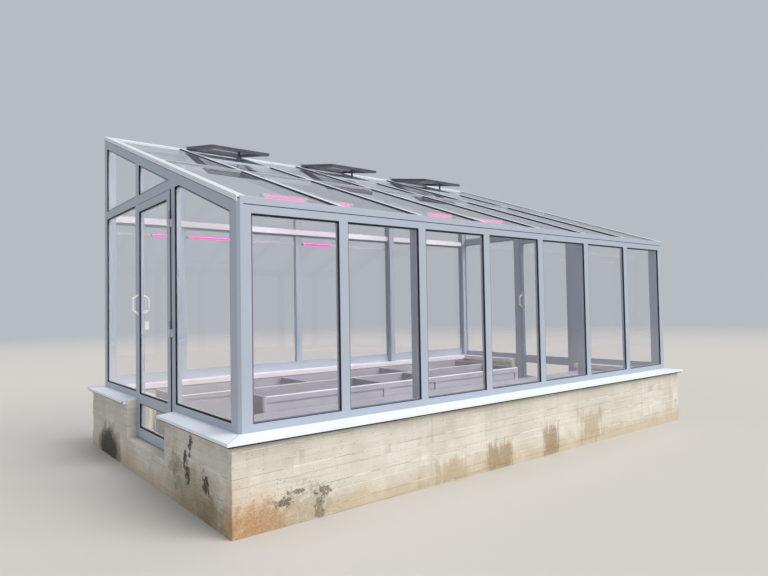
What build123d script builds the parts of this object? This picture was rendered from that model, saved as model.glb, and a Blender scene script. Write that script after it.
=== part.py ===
"""Lean-to glass greenhouse on a cast concrete plinth, in millimetres.

Everything is laid out from the near front corner of the glazed frame:
x runs along the front wall, y runs back to the tall rear wall, and z = 0
is the level of the sill that the frame stands on. save() then moves each
piece so that the origin is under the middle of the plinth.
"""
import math
import os

from build123d import *

# Glazed frame: overall layout
PANES = 7
PANE_WIDTH = 720
MULLION_FACE = 80
CORNER_FACE = 100
HOUSE_DEPTH = 3470
EAVES_TOP = 1593
RIDGE_TOP = 2805
PROFILE_DEPTH = 48
PORTAL_DEPTH = 118
PORTAL_LINES = (2, 5)
REAR_POST_LINES = (1, 3, 5)
VENT_BAYS = (2, 4, 6)

# Front and rear wall members
BOTTOM_RAIL = 56
REAR_BOTTOM_RAIL = 100
HEAD_RAIL_LOW = 1480
EAVES_LOW = 1539
EAVES_BACK = 60
EAVES_LIP = 4
FRONT_POST_DEPTH = 127
REAR_POST_DEPTH = 102
POST_CHAMFER = 20
REAR_TRANSOM_LOW = 1820
REAR_TRANSOM_HIGH = 1900
SERVICE_RAIL_LOW = 1832
SERVICE_RAIL_DEPTH = 30

# Roof build-up, as depths measured straight down from the roof's outer line
CAP_THICKNESS = 12
GLASS_SEAT = 20
BAR_UNDERSIDE = 90
PORTAL_UNDERSIDE = 140
GABLE_RAFTER_UNDERSIDE = 130
PURLIN_UNDERSIDE = 70
VERGE_SKIRT = 40
RIDGE_SKIRT = 50
RIDGE_BEAM_UNDERSIDE = 94
RIDGE_BEAM_WIDTH = 60
EDGE_CAP_THICKNESS = 6
EDGE_CAP_COVER = 70
BAR_HALF = 25
PORTAL_RAFTER_HALF = 30
GABLE_RAFTER_WIDTH = 60
PURLIN_HALF = 25
GLASS_EDGE_GAP = 5

# Glass sheets
GLASS_INSET = 10
GLASS_THICKNESS = 6

# Roof vents, held open
VENT_HINGE_SETBACK = 90
VENT_LENGTH = 775
TRIMMER_SETBACK = 19
VENT_SIDE_INSET = 41
VENT_THICKNESS = 32
VENT_RAIL = 50
VENT_LOWER_RAIL = 85
VENT_RAISE = 8.8
VENT_REST = 2
CURB_WIDTH = 45
HINGE_BAR_DEPTH = 30
HINGE_BAR_HEIGHT = 50

# Vent openers
OPENER_HALF_LENGTH = 140
OPENER_DEPTH = 50
OPENER_TOP = 55
OPENER_LOW = 95
ARM_HALF = 12
ARM_SETBACK = 25.5
ARM_THICKNESS = 12

# Gable wall and doorway
TRANSOM_LOW = 1850
TRANSOM_HIGH = 1935
DOOR_FRAME_DEPTH = 60
DOORWAY_WIDTH = 955
DOORWAY_OFFSET = 35
HINGE_POST_WIDTH = 83
HANDLE_POST_WIDTH = 60
HINGE_FOOT_EXTRA = 22
HANDLE_FOOT_EXTRA = 5
KING_POST_WIDTH = 100
KING_POST_SETBACK = 10
STOP_BEHIND_LEAF = 5
HINGE_STOP_WIDTH = 18
HANDLE_STOP_WIDTH = 40
TOP_STOP_HEIGHT = 30
NIB_COVER = 67

# Door leaf
LEAF_SIDE_GAP = 8
LEAF_TOP_GAP = 8
LEAF_FOOT_GAP = 10
LEAF_OUTER = -8
LEAF_THICKNESS = 48
LEAF_STILE = 78
LEAF_TOP_RAIL = 70
LEAF_BOTTOM_RAIL = 90
LEAF_MID_RAIL = (-41, 45)

# Door hinges and pull handles
HINGE_PIN_OUT = 20
HINGE_PIN_SIDE = 3
BARREL_RADIUS = 9
BARREL_LENGTH = 130
BARREL_GAP = 0.3
BARREL_CENTRES = (-180, 672, 1592)
HINGE_PLATE_THICKNESS = 4
HINGE_PLATE_WIDTH = 47
PULL_SETBACK = 50
PULL_Z = (799, 979)
PULL_STANDOFF = 50
PULL_RADIUS = 9
PULL_SLANT = 34
PULL_SEAT = 4
PULL_SEAT_RADIUS = 14

# Concrete plinth
PLINTH_OUT = 100
PLINTH_IN = 160
PLINTH_TOP = -14
PLINTH_LOW = -640
THRESHOLD_TOP = -370

# Outer sills
SILL_OUT = 150
SILL_DROP = 15
SILL_LIP = 22
SILL_SHEET = 4
SILL_IN = 60
SILL_PAST_WALL = 35
SILL_SHORT_OF_NIB = 2

# Inner sills and the wide front shelf
INNER_SILL_IN = 192
INNER_NOSE_LOW = -55
INNER_NOSE = 10
SHELF_IN = 640
SHELF_LOW = -50
SHELF_SHORT = 815

# Planting beds
BED_WALL = 30
BED_CORNER = 24
BED_RECESS = 12
BED_BASE_RAIL = 90
BED_STILE = 64
BED_RIM = 52
FRONT_BED_TOP = 127
FRONT_BED_ENDS = (500, 2060)
FRONT_BED_WALL_SHARES = (0.398, 0.604)
FRONT_BED_CLEAR = 100
REAR_BED_TOP = -28
REAR_BED_ENDS = (400, 690)
REAR_BED_WALL_SHARES = (0.333, 0.667)
REAR_BED_CLEAR = 45
REAR_BED_BEHIND = 480

# Grow lights: the bay of each lamp in its own wall, and the lit share of that bay
FRONT_LIGHTS = ((1, 0.43, 0.93), (2, 0.13, 0.46), (3, 0.53, 0.98), (4, 0.28, 0.90))
REAR_LIGHTS = ((1, 0.56, 0.98), (2, 0.02, 0.40), (3, 0.02, 0.34))
FRONT_LIGHT_Y = 430
FRONT_LIGHT_WIDTH = 60
FRONT_LIGHT_TOP = 34
CHANNEL_TOP = 66
CHANNEL_UNDERSIDE = 74
CHANNEL_HALF = 15
REAR_LIGHT_Z = 1713
REAR_LIGHT_HALF = 13
REAR_LIGHT_DEPTH = 24
REAR_CHANNEL_INSET = 12
REAR_CHANNEL_DEPTH = 8

# Switch box by the near door
BOX_WIDTH = 45
BOX_HEIGHT = 80
BOX_LOW = 643
BOX_DEPTH = 55

PITCH = PANE_WIDTH + MULLION_FACE
LENGTH = 2 * CORNER_FACE + PANES * PANE_WIDTH + (PANES - 1) * MULLION_FACE
SLOPE = (RIDGE_TOP - EAVES_TOP) / HOUSE_DEPTH
ROOF_PITCH = math.degrees(math.atan(SLOPE))
MULLION_X = [
    CORNER_FACE + (index + 1) * PITCH - MULLION_FACE / 2
    for index in range(PANES - 1)
]
PORTAL_X = [MULLION_X[number - 1] for number in PORTAL_LINES]
PLAIN_X = [x for x in MULLION_X if x not in PORTAL_X]
REAR_POST_X = [MULLION_X[number - 1] for number in REAR_POST_LINES]
REAR_PLAIN_X = [x for x in REAR_POST_X if x not in PORTAL_X]
RIDGE_FRONT_Y = HOUSE_DEPTH - RIDGE_BEAM_WIDTH
REAR_INSIDE_Y = HOUSE_DEPTH - PROFILE_DEPTH
RIDGE_BEAM_LOW = EAVES_TOP + SLOPE * RIDGE_FRONT_Y - RIDGE_BEAM_UNDERSIDE
VENT_HINGE_Y = HOUSE_DEPTH - VENT_HINGE_SETBACK
TRIMMER_Y = VENT_HINGE_Y - VENT_LENGTH * math.cos(math.atan(SLOPE)) - TRIMMER_SETBACK
PURLIN_Y = HOUSE_DEPTH / 2

# The doorway stands a little behind the middle of the gable
DOORWAY_MIDDLE = HOUSE_DEPTH / 2 + DOORWAY_OFFSET
DOORWAY = (DOORWAY_MIDDLE - DOORWAY_WIDTH / 2, DOORWAY_MIDDLE + DOORWAY_WIDTH / 2)
HINGE_POST = (DOORWAY[0] - HINGE_POST_WIDTH, DOORWAY[0])
HANDLE_POST = (DOORWAY[1], DOORWAY[1] + HANDLE_POST_WIDTH)
HINGE_POST_FOOT_Y = HINGE_POST[0] - HINGE_FOOT_EXTRA
HANDLE_POST_FOOT_Y = HANDLE_POST[1] + HANDLE_FOOT_EXTRA
KING_POST = (HANDLE_POST[1] - KING_POST_SETBACK - KING_POST_WIDTH, HANDLE_POST[1] - KING_POST_SETBACK)
NIB_Y = HANDLE_POST_FOOT_Y - NIB_COVER
SILL_END_FRONT_Y = HINGE_POST_FOOT_Y + SILL_PAST_WALL
SILL_END_REAR_Y = NIB_Y + SILL_SHORT_OF_NIB
LEAF_Y = (DOORWAY[0] + LEAF_SIDE_GAP, DOORWAY[1] - LEAF_SIDE_GAP)
LEAF_Z = (THRESHOLD_TOP + LEAF_FOOT_GAP, TRANSOM_LOW - LEAF_TOP_GAP)
LEAF_TOP_GLASS = LEAF_Z[1] - LEAF_TOP_RAIL
LEAF_LOW_GLASS = LEAF_Z[0] + LEAF_BOTTOM_RAIL
STOP_FACE = LEAF_OUTER + LEAF_THICKNESS + STOP_BEHIND_LEAF
HINGE_AXIS = (-HINGE_PIN_OUT, DOORWAY[0] + HINGE_PIN_SIDE)
PULL_Y = LEAF_Y[1] - PULL_SETBACK

SHELF_END_X = LENGTH - SHELF_SHORT
FRONT_BED_X = (FRONT_BED_ENDS[0], LENGTH - FRONT_BED_ENDS[1])
FRONT_BED_Y = (SHELF_IN, DOORWAY[0] - FRONT_BED_CLEAR)
REAR_BED_X = (REAR_BED_ENDS[0], LENGTH - REAR_BED_ENDS[1])
REAR_BED_Y = (DOORWAY[1] + REAR_BED_CLEAR, HOUSE_DEPTH - REAR_BED_BEHIND)


def block(x_range, y_range, z_range):
    """A box between two corners."""
    size = [high - low for low, high in (x_range, y_range, z_range)]
    corner = (x_range[0], y_range[0], z_range[0])
    return Pos(*corner) * Box(*size, align=(Align.MIN, Align.MIN, Align.MIN))


def along_x(points, x_range):
    """A profile of (y, z) points carried along x."""
    wire = Polyline(*[(x_range[0], y, z) for y, z in points], close=True)
    return extrude(make_face(wire), x_range[1] - x_range[0], dir=(1, 0, 0))


def along_y(points, y_range):
    """A profile of (x, z) points carried along y."""
    wire = Polyline(*[(x, y_range[0], z) for x, z in points], close=True)
    return extrude(make_face(wire), y_range[1] - y_range[0], dir=(0, 1, 0))


def along_z(points, z_range):
    """A plan outline of (x, y) points carried upwards."""
    wire = Polyline(*[(x, y, z_range[0]) for x, y in points], close=True)
    return extrude(make_face(wire), z_range[1] - z_range[0], dir=(0, 0, 1))


def rod(x, y, z_range, radius):
    """An upright round rod."""
    height = z_range[1] - z_range[0]
    foot = Pos(x, y, z_range[0])
    return foot * Cylinder(radius, height, align=(Align.CENTER, Align.CENTER, Align.MIN))


def roof_z(y):
    """Height of the roof's outer line above the sill, at a depth y."""
    return EAVES_TOP + SLOPE * y


def roof_strip(x_range, y_range, depth_range):
    """A member lying in the roof, between two depths under its outer line."""
    top, bottom = depth_range
    low_y, high_y = y_range
    points = [
        (low_y, roof_z(low_y) - top),
        (high_y, roof_z(high_y) - top),
        (high_y, roof_z(high_y) - bottom),
        (low_y, roof_z(low_y) - bottom),
    ]
    return along_x(points, x_range)


def under_rafter(x_range, y_range, low_z, depth):
    """An upright slab whose top follows the roof at a given depth."""
    low_y, high_y = y_range
    points = [
        (low_y, low_z),
        (high_y, low_z),
        (high_y, roof_z(high_y) - depth),
        (low_y, roof_z(low_y) - depth),
    ]
    return along_x(points, x_range)


def to_far(shape):
    """The same piece on the far gable."""
    return mirror(shape, Plane.YZ.offset(LENGTH / 2))


def solids_of(shapes):
    """All the solids of a list of shapes."""
    return [solid for shape in shapes for solid in shape.solids()]


def save(name, *shapes):
    """Write one named piece, moved to the origin under the plinth."""
    home = Location((-LENGTH / 2, -HOUSE_DEPTH / 2, -PLINTH_LOW))
    pieces = [solid.moved(home) for solid in solids_of(shapes)]
    whole = pieces[0] if len(pieces) == 1 else Compound(children=pieces)
    whole.label = name
    export_step(whole, f"parts/{name}.step")
    print(name, len(pieces))


def bays():
    """The clear x range of each bay of panes, near to far."""
    return [
        (CORNER_FACE + index * PITCH, CORNER_FACE + index * PITCH + PANE_WIDTH)
        for index in range(PANES)
    ]


def rear_bays():
    """The clear x range between the posts of the rear wall, near to far."""
    half = MULLION_FACE / 2
    starts = [CORNER_FACE, *[x + half for x in REAR_POST_X]]
    ends = [*[x - half for x in REAR_POST_X], LENGTH - CORNER_FACE]
    return list(zip(starts, ends))


def roof_lines():
    """The middles of the roof bars, with the two ends of the house."""
    return [0, *MULLION_X, LENGTH]


def member_half(x):
    """Half the width of the roof member at a mullion line."""
    return PORTAL_RAFTER_HALF if x in PORTAL_X else BAR_HALF


# Concrete plinth


def plinth_walls():
    """The front and rear walls, and the gable walls beside the doorways."""
    height = (PLINTH_LOW, PLINTH_TOP)
    long_x = (-PLINTH_OUT, LENGTH + PLINTH_OUT)
    back_y = HOUSE_DEPTH - PLINTH_IN
    front = block(long_x, (-PLINTH_OUT, PLINTH_IN), height)
    rear = block(long_x, (back_y, HOUSE_DEPTH + PLINTH_OUT), height)
    gable_x = (-PLINTH_OUT, PLINTH_IN)
    beside_hinges = block(gable_x, (PLINTH_IN, HINGE_POST_FOOT_Y), height)
    beside_handle = block(gable_x, (HANDLE_POST_FOOT_Y, back_y), height)
    nib = block((-PLINTH_OUT, 0), (NIB_Y, HANDLE_POST_FOOT_Y), height)
    gables = [beside_hinges, beside_handle + nib]
    return front, rear, gables


def threshold():
    """The concrete step in the doorway, with a widening under the post."""
    height = (PLINTH_LOW, THRESHOLD_TOP)
    step = block((-PLINTH_OUT, PLINTH_IN), (HINGE_POST_FOOT_Y, NIB_Y), height)
    post_seat = block((0, PLINTH_IN), (NIB_Y, HANDLE_POST_FOOT_Y), height)
    return step + post_seat


# Sills


def sill_profile():
    """Section of the outer sill on its bedding: (distance outwards, z)."""
    slope = SILL_DROP / SILL_OUT
    lip_low = -SILL_DROP - SILL_LIP
    inner_skin = SILL_OUT - SILL_SHEET
    return [
        (-SILL_IN, 0),
        (0, 0),
        (SILL_OUT, -SILL_DROP),
        (SILL_OUT, lip_low),
        (inner_skin, lip_low),
        (inner_skin, -inner_skin * slope - SILL_SHEET),
        (PLINTH_OUT, PLINTH_TOP),
        (-SILL_IN, PLINTH_TOP),
    ]


def outer_sills():
    """Mitred sills: the front, the rear, and two pieces on a gable."""
    zone = (-SILL_DROP - SILL_LIP, 0)
    rear_out = HOUSE_DEPTH + SILL_OUT
    rear_in = HOUSE_DEPTH - SILL_IN
    far_out = LENGTH + SILL_OUT
    far_in = LENGTH - SILL_IN
    long_x = (-SILL_OUT, far_out)
    front_bar = along_x([(-out, z) for out, z in sill_profile()], long_x)
    rear_bar = along_x([(HOUSE_DEPTH + out, z) for out, z in sill_profile()], long_x)
    front_plan = [
        (-SILL_OUT, -SILL_OUT),
        (far_out, -SILL_OUT),
        (far_in, SILL_IN),
        (SILL_IN, SILL_IN),
    ]
    rear_plan = [
        (-SILL_OUT, rear_out),
        (far_out, rear_out),
        (far_in, rear_in),
        (SILL_IN, rear_in),
    ]
    front = front_bar & along_z(front_plan, zone)
    rear = rear_bar & along_z(rear_plan, zone)
    gable_bar = along_y([(-out, z) for out, z in sill_profile()], (-SILL_OUT, rear_out))
    hinge_side_plan = [
        (-SILL_OUT, -SILL_OUT),
        (SILL_IN, SILL_IN),
        (SILL_IN, HINGE_POST_FOOT_Y),
        (0, HINGE_POST_FOOT_Y),
        (0, SILL_END_FRONT_Y),
        (-SILL_OUT, SILL_END_FRONT_Y),
    ]
    handle_side_plan = [
        (-SILL_OUT, rear_out),
        (SILL_IN, rear_in),
        (SILL_IN, HANDLE_POST_FOOT_Y),
        (0, HANDLE_POST_FOOT_Y),
        (0, SILL_END_REAR_Y),
        (-SILL_OUT, SILL_END_REAR_Y),
    ]
    gable = [
        gable_bar & along_z(hinge_side_plan, zone),
        gable_bar & along_z(handle_side_plan, zone),
    ]
    return front, rear, gable


def inner_sill_profile(edge):
    """Section of an inner sill: (distance inwards, z)."""
    return [
        (SILL_IN, 0),
        (edge, 0),
        (edge, INNER_NOSE_LOW),
        (edge - INNER_NOSE, INNER_NOSE_LOW),
        (edge - INNER_NOSE, PLINTH_TOP),
        (SILL_IN, PLINTH_TOP),
    ]


def inner_sills():
    """The white boards on top of the plinth, round the inside."""
    profile = inner_sill_profile(INNER_SILL_IN)
    rear_y = HOUSE_DEPTH - SILL_IN
    rear = along_x([(HOUSE_DEPTH - y, z) for y, z in profile], (SILL_IN, LENGTH - SILL_IN))
    near_back = along_y(profile, (HANDLE_POST_FOOT_Y, rear_y))
    back_run = rear + near_back + to_far(near_back)
    near_front = along_y(profile, (SHELF_IN, HINGE_POST_FOOT_Y))
    far_end = along_x(profile, (SHELF_END_X, LENGTH - SILL_IN))
    far_front = to_far(along_y(profile, (SILL_IN, HINGE_POST_FOOT_Y))) + far_end
    front, rear, gables = plinth_walls()
    back_run = back_run - rear - gables[1] - to_far(gables[1])
    far_front = far_front - front - to_far(gables[0])
    return back_run, near_front, far_front


def front_shelf():
    """The deep shelf along the inside of the front wall."""
    points = [
        (SILL_IN, 0),
        (SHELF_IN, 0),
        (SHELF_IN, SHELF_LOW),
        (PLINTH_IN, SHELF_LOW),
        (PLINTH_IN, PLINTH_TOP),
        (SILL_IN, PLINTH_TOP),
    ]
    return along_x(points, (SILL_IN, SHELF_END_X)) - plinth_walls()[2][0]


# Long walls


def front_post():
    """The near front corner post, with its chamfered outer edge."""
    outline = [
        (POST_CHAMFER, 0),
        (CORNER_FACE, 0),
        (CORNER_FACE, FRONT_POST_DEPTH),
        (0, FRONT_POST_DEPTH),
        (0, POST_CHAMFER),
    ]
    width = (0, CORNER_FACE)
    shaft = along_z(outline, (0, roof_z(FRONT_POST_DEPTH)))
    under_glass = under_rafter(width, (0, FRONT_POST_DEPTH), 0, GLASS_SEAT)
    lip = roof_strip(width, (0, EAVES_LIP), (0, GLASS_SEAT))
    return shaft & (under_glass + lip)


def rear_post():
    """The near rear corner post, up to the ridge beam."""
    depth = (HOUSE_DEPTH - REAR_POST_DEPTH, HOUSE_DEPTH)
    return block((0, CORNER_FACE), depth, (0, RIDGE_BEAM_LOW))


def front_rails():
    """The bottom rail and the head rail of the front wall."""
    clear = (CORNER_FACE, LENGTH - CORNER_FACE)
    skin = (0, PROFILE_DEPTH)
    return block(clear, skin, (0, BOTTOM_RAIL)), block(clear, skin, (HEAD_RAIL_LOW, EAVES_LOW))


def eaves():
    """The eaves profile: a lip in front holds the lower edge of the glass."""
    points = [
        (0, EAVES_LOW),
        (EAVES_BACK, EAVES_LOW),
        (EAVES_BACK, roof_z(EAVES_BACK) - GLASS_SEAT),
        (EAVES_LIP, roof_z(EAVES_LIP) - GLASS_SEAT),
        (EAVES_LIP, roof_z(EAVES_LIP)),
        (0, roof_z(0)),
    ]
    return along_x(points, (CORNER_FACE, LENGTH - CORNER_FACE))


def ridge_beam():
    """The beam along the top of the rear wall."""
    points = [
        (RIDGE_FRONT_Y, RIDGE_BEAM_LOW),
        (HOUSE_DEPTH, RIDGE_BEAM_LOW),
        (HOUSE_DEPTH, roof_z(HOUSE_DEPTH) - GLASS_SEAT),
        (RIDGE_FRONT_Y, roof_z(RIDGE_FRONT_Y) - GLASS_SEAT),
    ]
    return along_x(points, (0, LENGTH))


def mullion(x, y_range, z_range):
    """One upright of a long wall."""
    half = MULLION_FACE / 2
    return block((x - half, x + half), y_range, z_range)


def portal(x, keep_clear):
    """A deep front post and rafter, with a deep rear post where one stands."""
    half = MULLION_FACE / 2
    face = (x - half, x + half)
    rafter_x = (x - PORTAL_RAFTER_HALF, x + PORTAL_RAFTER_HALF)
    band = (GLASS_SEAT, PORTAL_UNDERSIDE)
    frame = under_rafter(face, (0, PORTAL_DEPTH), 0, GLASS_SEAT)
    if x in REAR_POST_X:
        rear_y = (HOUSE_DEPTH - PORTAL_DEPTH, HOUSE_DEPTH)
        frame += under_rafter(face, rear_y, 0, GLASS_SEAT)
        frame += roof_strip(rafter_x, (0, HOUSE_DEPTH), band)
    else:
        frame += roof_strip(rafter_x, (0, RIDGE_FRONT_Y), band)
    for piece in keep_clear:
        frame -= piece
    return frame


def rear_wall(portals):
    """The rear bottom rail, the transoms and the white service rail."""
    clear = (CORNER_FACE, LENGTH - CORNER_FACE)
    skin = (REAR_INSIDE_Y, HOUSE_DEPTH)
    bottom = block(clear, skin, (0, REAR_BOTTOM_RAIL))
    transom_z = (REAR_TRANSOM_LOW, REAR_TRANSOM_HIGH)
    transoms = [block(bay, skin, transom_z) for bay in rear_bays()]
    service_y = (REAR_INSIDE_Y - SERVICE_RAIL_DEPTH, REAR_INSIDE_Y)
    service = block(clear, service_y, (SERVICE_RAIL_LOW, REAR_TRANSOM_HIGH))
    for frame in portals:
        service -= frame
    return bottom, transoms, service


def wall_glass():
    """The front panes, and the lower and upper panes of the rear wall."""
    front_y = (GLASS_INSET, GLASS_INSET + GLASS_THICKNESS)
    rear_y = (HOUSE_DEPTH - front_y[1], HOUSE_DEPTH - front_y[0])
    front = [block(bay, front_y, (BOTTOM_RAIL, HEAD_RAIL_LOW)) for bay in bays()]
    rear = []
    for bay in rear_bays():
        rear.append(block(bay, rear_y, (REAR_BOTTOM_RAIL, REAR_TRANSOM_LOW)))
        rear.append(block(bay, rear_y, (REAR_TRANSOM_HIGH, RIDGE_BEAM_LOW)))
    return front, rear


# Roof


def gable_rafter():
    """The sloping bar over the near gable, from the front post to the ridge."""
    band = (GLASS_SEAT, GABLE_RAFTER_UNDERSIDE)
    return roof_strip((0, GABLE_RAFTER_WIDTH), (FRONT_POST_DEPTH, RIDGE_FRONT_Y), band)


def edge_cap():
    """The light cap over both verges and the ridge, with its skirts."""
    skin = EDGE_CAP_THICKNESS
    cover = (0, CAP_THICKNESS)
    verge_top = roof_strip((-skin, EDGE_CAP_COVER), (EAVES_LIP, HOUSE_DEPTH + skin), cover)
    verge_skirt = roof_strip((-skin, 0), (0, HOUSE_DEPTH + skin), (0, VERGE_SKIRT))
    verge = verge_top + verge_skirt
    whole_x = (-skin, LENGTH + skin)
    ridge_top = roof_strip(whole_x, (RIDGE_FRONT_Y, HOUSE_DEPTH + skin), cover)
    ridge_skirt = roof_strip(whole_x, (HOUSE_DEPTH, HOUSE_DEPTH + skin), (0, RIDGE_SKIRT))
    return verge + to_far(verge) + ridge_top + ridge_skirt


def roof_bar(x, keep_clear):
    """One plain bar under the joint between two roof panes."""
    band = (GLASS_SEAT, BAR_UNDERSIDE)
    bar = roof_strip((x - BAR_HALF, x + BAR_HALF), (PROFILE_DEPTH, RIDGE_FRONT_Y), band)
    for piece in keep_clear:
        bar -= piece
    return bar


def roof_bays():
    """For each bay of the roof: its number and the x range of its glass."""
    lines = roof_lines()
    spans = []
    for index in range(PANES):
        low = lines[index] + GLASS_EDGE_GAP
        high = lines[index + 1] - GLASS_EDGE_GAP
        spans.append((index + 1, (low, high)))
    return spans


def rafter_gaps():
    """The clear x range between the roof members of each bay."""
    edges = [GABLE_RAFTER_WIDTH]
    for x in MULLION_X:
        edges += [x - member_half(x), x + member_half(x)]
    edges.append(LENGTH - GABLE_RAFTER_WIDTH)
    return list(zip(edges[0::2], edges[1::2]))


def purlins():
    """Cross bars half way up the roof, and trimmers under the vents' lower edges."""
    purlin_y = (PURLIN_Y - PURLIN_HALF, PURLIN_Y + PURLIN_HALF)
    trimmer_y = (TRIMMER_Y - PURLIN_HALF, TRIMMER_Y + PURLIN_HALF)
    band = (GLASS_SEAT, PURLIN_UNDERSIDE)
    bars = [roof_strip(gap, purlin_y, band) for gap in rafter_gaps()]
    for number, gap in enumerate(rafter_gaps(), start=1):
        if number in VENT_BAYS:
            bars.append(roof_strip(gap, trimmer_y, band))
    return bars


def roof_caps():
    """The light caps over the bars, and over the joint half way up."""
    cover = (0, CAP_THICKNESS)
    caps = None
    for x in MULLION_X:
        cap = roof_strip((x - BAR_HALF, x + BAR_HALF), (EAVES_LIP, RIDGE_FRONT_Y), cover)
        caps = cap if caps is None else caps + cap
    joint_y = (PURLIN_Y - PURLIN_HALF, PURLIN_Y + PURLIN_HALF)
    return caps + roof_strip((EDGE_CAP_COVER, LENGTH - EDGE_CAP_COVER), joint_y, cover)


def roof_glass():
    """The lower panes, and the upper ones, which are short below a vent."""
    band = (CAP_THICKNESS, GLASS_SEAT)
    lower_y = (EAVES_LIP + GLASS_EDGE_GAP, PURLIN_Y - GLASS_EDGE_GAP)
    upper_start = PURLIN_Y + GLASS_EDGE_GAP
    panes = []
    for number, span in roof_bays():
        panes.append(roof_strip(span, lower_y, band))
        edge = TRIMMER_Y if number in VENT_BAYS else HOUSE_DEPTH
        panes.append(roof_strip(span, (upper_start, edge - GLASS_EDGE_GAP), band))
    return panes


# Roof vents


def vent_pose():
    """Where a vent turns: its hinge line, and its tilt as it stands open."""
    tilt = Rot(ROOF_PITCH - VENT_RAISE, 0, 0)
    return Pos(0, VENT_HINGE_Y, roof_z(VENT_HINGE_Y) + VENT_REST) * tilt


def vent_width(span):
    """The x range of the vent that stands over one bay's kerb."""
    return (span[0] + VENT_SIDE_INSET, span[1] - VENT_SIDE_INSET)


def vent_leaf(span):
    """The dark frame of one vent and the pane in it, tilted open."""
    outer_x = vent_width(span)
    inner_x = (outer_x[0] + VENT_RAIL, outer_x[1] - VENT_RAIL)
    inner_y = (-VENT_LENGTH + VENT_LOWER_RAIL, -VENT_RAIL)
    whole = (0, VENT_THICKNESS)
    frame = block(outer_x, (-VENT_LENGTH, 0), whole) - block(inner_x, inner_y, whole)
    glass_z = (VENT_THICKNESS - GLASS_INSET - GLASS_THICKNESS, VENT_THICKNESS - GLASS_INSET)
    pane = block(inner_x, inner_y, glass_z)
    return vent_pose() * frame, vent_pose() * pane


def vent_curb(span, frame, caps):
    """The kerb round the hole in the roof, with the bar the vent hangs on."""
    low_y = TRIMMER_Y + GLASS_EDGE_GAP
    outer = roof_strip(span, (low_y, RIDGE_FRONT_Y), (0, GLASS_SEAT))
    hole_x = (span[0] + CURB_WIDTH, span[1] - CURB_WIDTH)
    hole = roof_strip(hole_x, (low_y + CURB_WIDTH, VENT_HINGE_Y - CURB_WIDTH), (0, GLASS_SEAT))
    bar_y = (VENT_HINGE_Y - VENT_REST, VENT_HINGE_Y + HINGE_BAR_DEPTH)
    hinge_bar = roof_strip(vent_width(span), bar_y, (-HINGE_BAR_HEIGHT, 0))
    return outer - hole - caps + hinge_bar - frame


def vent_opener(span, frame):
    """A drive housing on the trimmer and the arm that holds the vent up."""
    middle = (span[0] + span[1]) / 2
    face_y = TRIMMER_Y + PURLIN_HALF
    housing_x = (middle - OPENER_HALF_LENGTH, middle + OPENER_HALF_LENGTH)
    housing = roof_strip(housing_x, (face_y, face_y + OPENER_DEPTH), (OPENER_TOP, OPENER_LOW))
    arm_y = (face_y + ARM_SETBACK, face_y + ARM_SETBACK + ARM_THICKNESS)
    reach = roof_z(arm_y[1]) + VENT_LENGTH * SLOPE / 2
    arm_z = (roof_z(arm_y[0]) - OPENER_LOW + ARM_THICKNESS, reach)
    arm = block((middle - ARM_HALF, middle + ARM_HALF), arm_y, arm_z) - frame
    arm = arm.solids().sort_by(Axis.Z)[0]
    return housing + arm


# Gable wall


def transom_start():
    """Where the transom's middle line runs into the middle of the rafter."""
    middle = (TRANSOM_LOW + TRANSOM_HIGH) / 2
    rafter_middle = (GLASS_SEAT + GABLE_RAFTER_UNDERSIDE) / 2
    return (middle + rafter_middle - EAVES_TOP) / SLOPE


def gable_frame(rafter):
    """Rails, door posts, transom and king post of the near gable."""
    skin = (0, PROFILE_DEPTH)
    door_skin = (0, DOOR_FRAME_DEPTH)
    stop = (STOP_FACE, DOOR_FRAME_DEPTH)
    rear_y = HOUSE_DEPTH - REAR_POST_DEPTH
    frame = block(skin, (FRONT_POST_DEPTH, HINGE_POST[0]), (0, BOTTOM_RAIL))
    frame += block(skin, (HANDLE_POST[1], rear_y), (0, BOTTOM_RAIL))
    frame += block(door_skin, HINGE_POST, (0, TRANSOM_LOW))
    frame += block(door_skin, (HINGE_POST_FOOT_Y, HINGE_POST[1]), (THRESHOLD_TOP, 0))
    frame += block(door_skin, HANDLE_POST, (0, TRANSOM_LOW))
    frame += block(door_skin, (HANDLE_POST[0], HANDLE_POST_FOOT_Y), (THRESHOLD_TOP, 0))
    hinge_stop = (DOORWAY[0], DOORWAY[0] + HINGE_STOP_WIDTH)
    handle_stop = (DOORWAY[1] - HANDLE_STOP_WIDTH, DOORWAY[1])
    frame += block(stop, hinge_stop, (THRESHOLD_TOP, TRANSOM_LOW))
    frame += block(stop, handle_stop, (THRESHOLD_TOP, TRANSOM_LOW))
    frame += block(stop, DOORWAY, (TRANSOM_LOW - TOP_STOP_HEIGHT, TRANSOM_LOW))
    frame += block(skin, (transom_start(), rear_y), (TRANSOM_LOW, TRANSOM_HIGH))
    frame += under_rafter(skin, KING_POST, TRANSOM_HIGH, GABLE_RAFTER_UNDERSIDE)
    return frame - rafter


def gable_glass(frame, rafter):
    """The four fixed panes of the near gable."""
    sheet = (GLASS_INSET, GLASS_INSET + GLASS_THICKNESS)
    rear_y = HOUSE_DEPTH - REAR_POST_DEPTH
    under = GABLE_RAFTER_UNDERSIDE
    front = under_rafter(sheet, (FRONT_POST_DEPTH, HINGE_POST[0]), BOTTOM_RAIL, under) - frame
    front = front.solids().sort_by(SortBy.VOLUME)[-1]
    rear = block(sheet, (HANDLE_POST[1], rear_y), (BOTTOM_RAIL, TRANSOM_LOW))
    point_y = (TRANSOM_HIGH + under + GLASS_THICKNESS - EAVES_TOP) / SLOPE
    over_door = under_rafter(sheet, (point_y, KING_POST[0]), TRANSOM_HIGH, under)
    over_rear = under_rafter(sheet, (KING_POST[1], rear_y), TRANSOM_HIGH, under)
    return [front, rear, over_door, over_rear]


# Door


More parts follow.
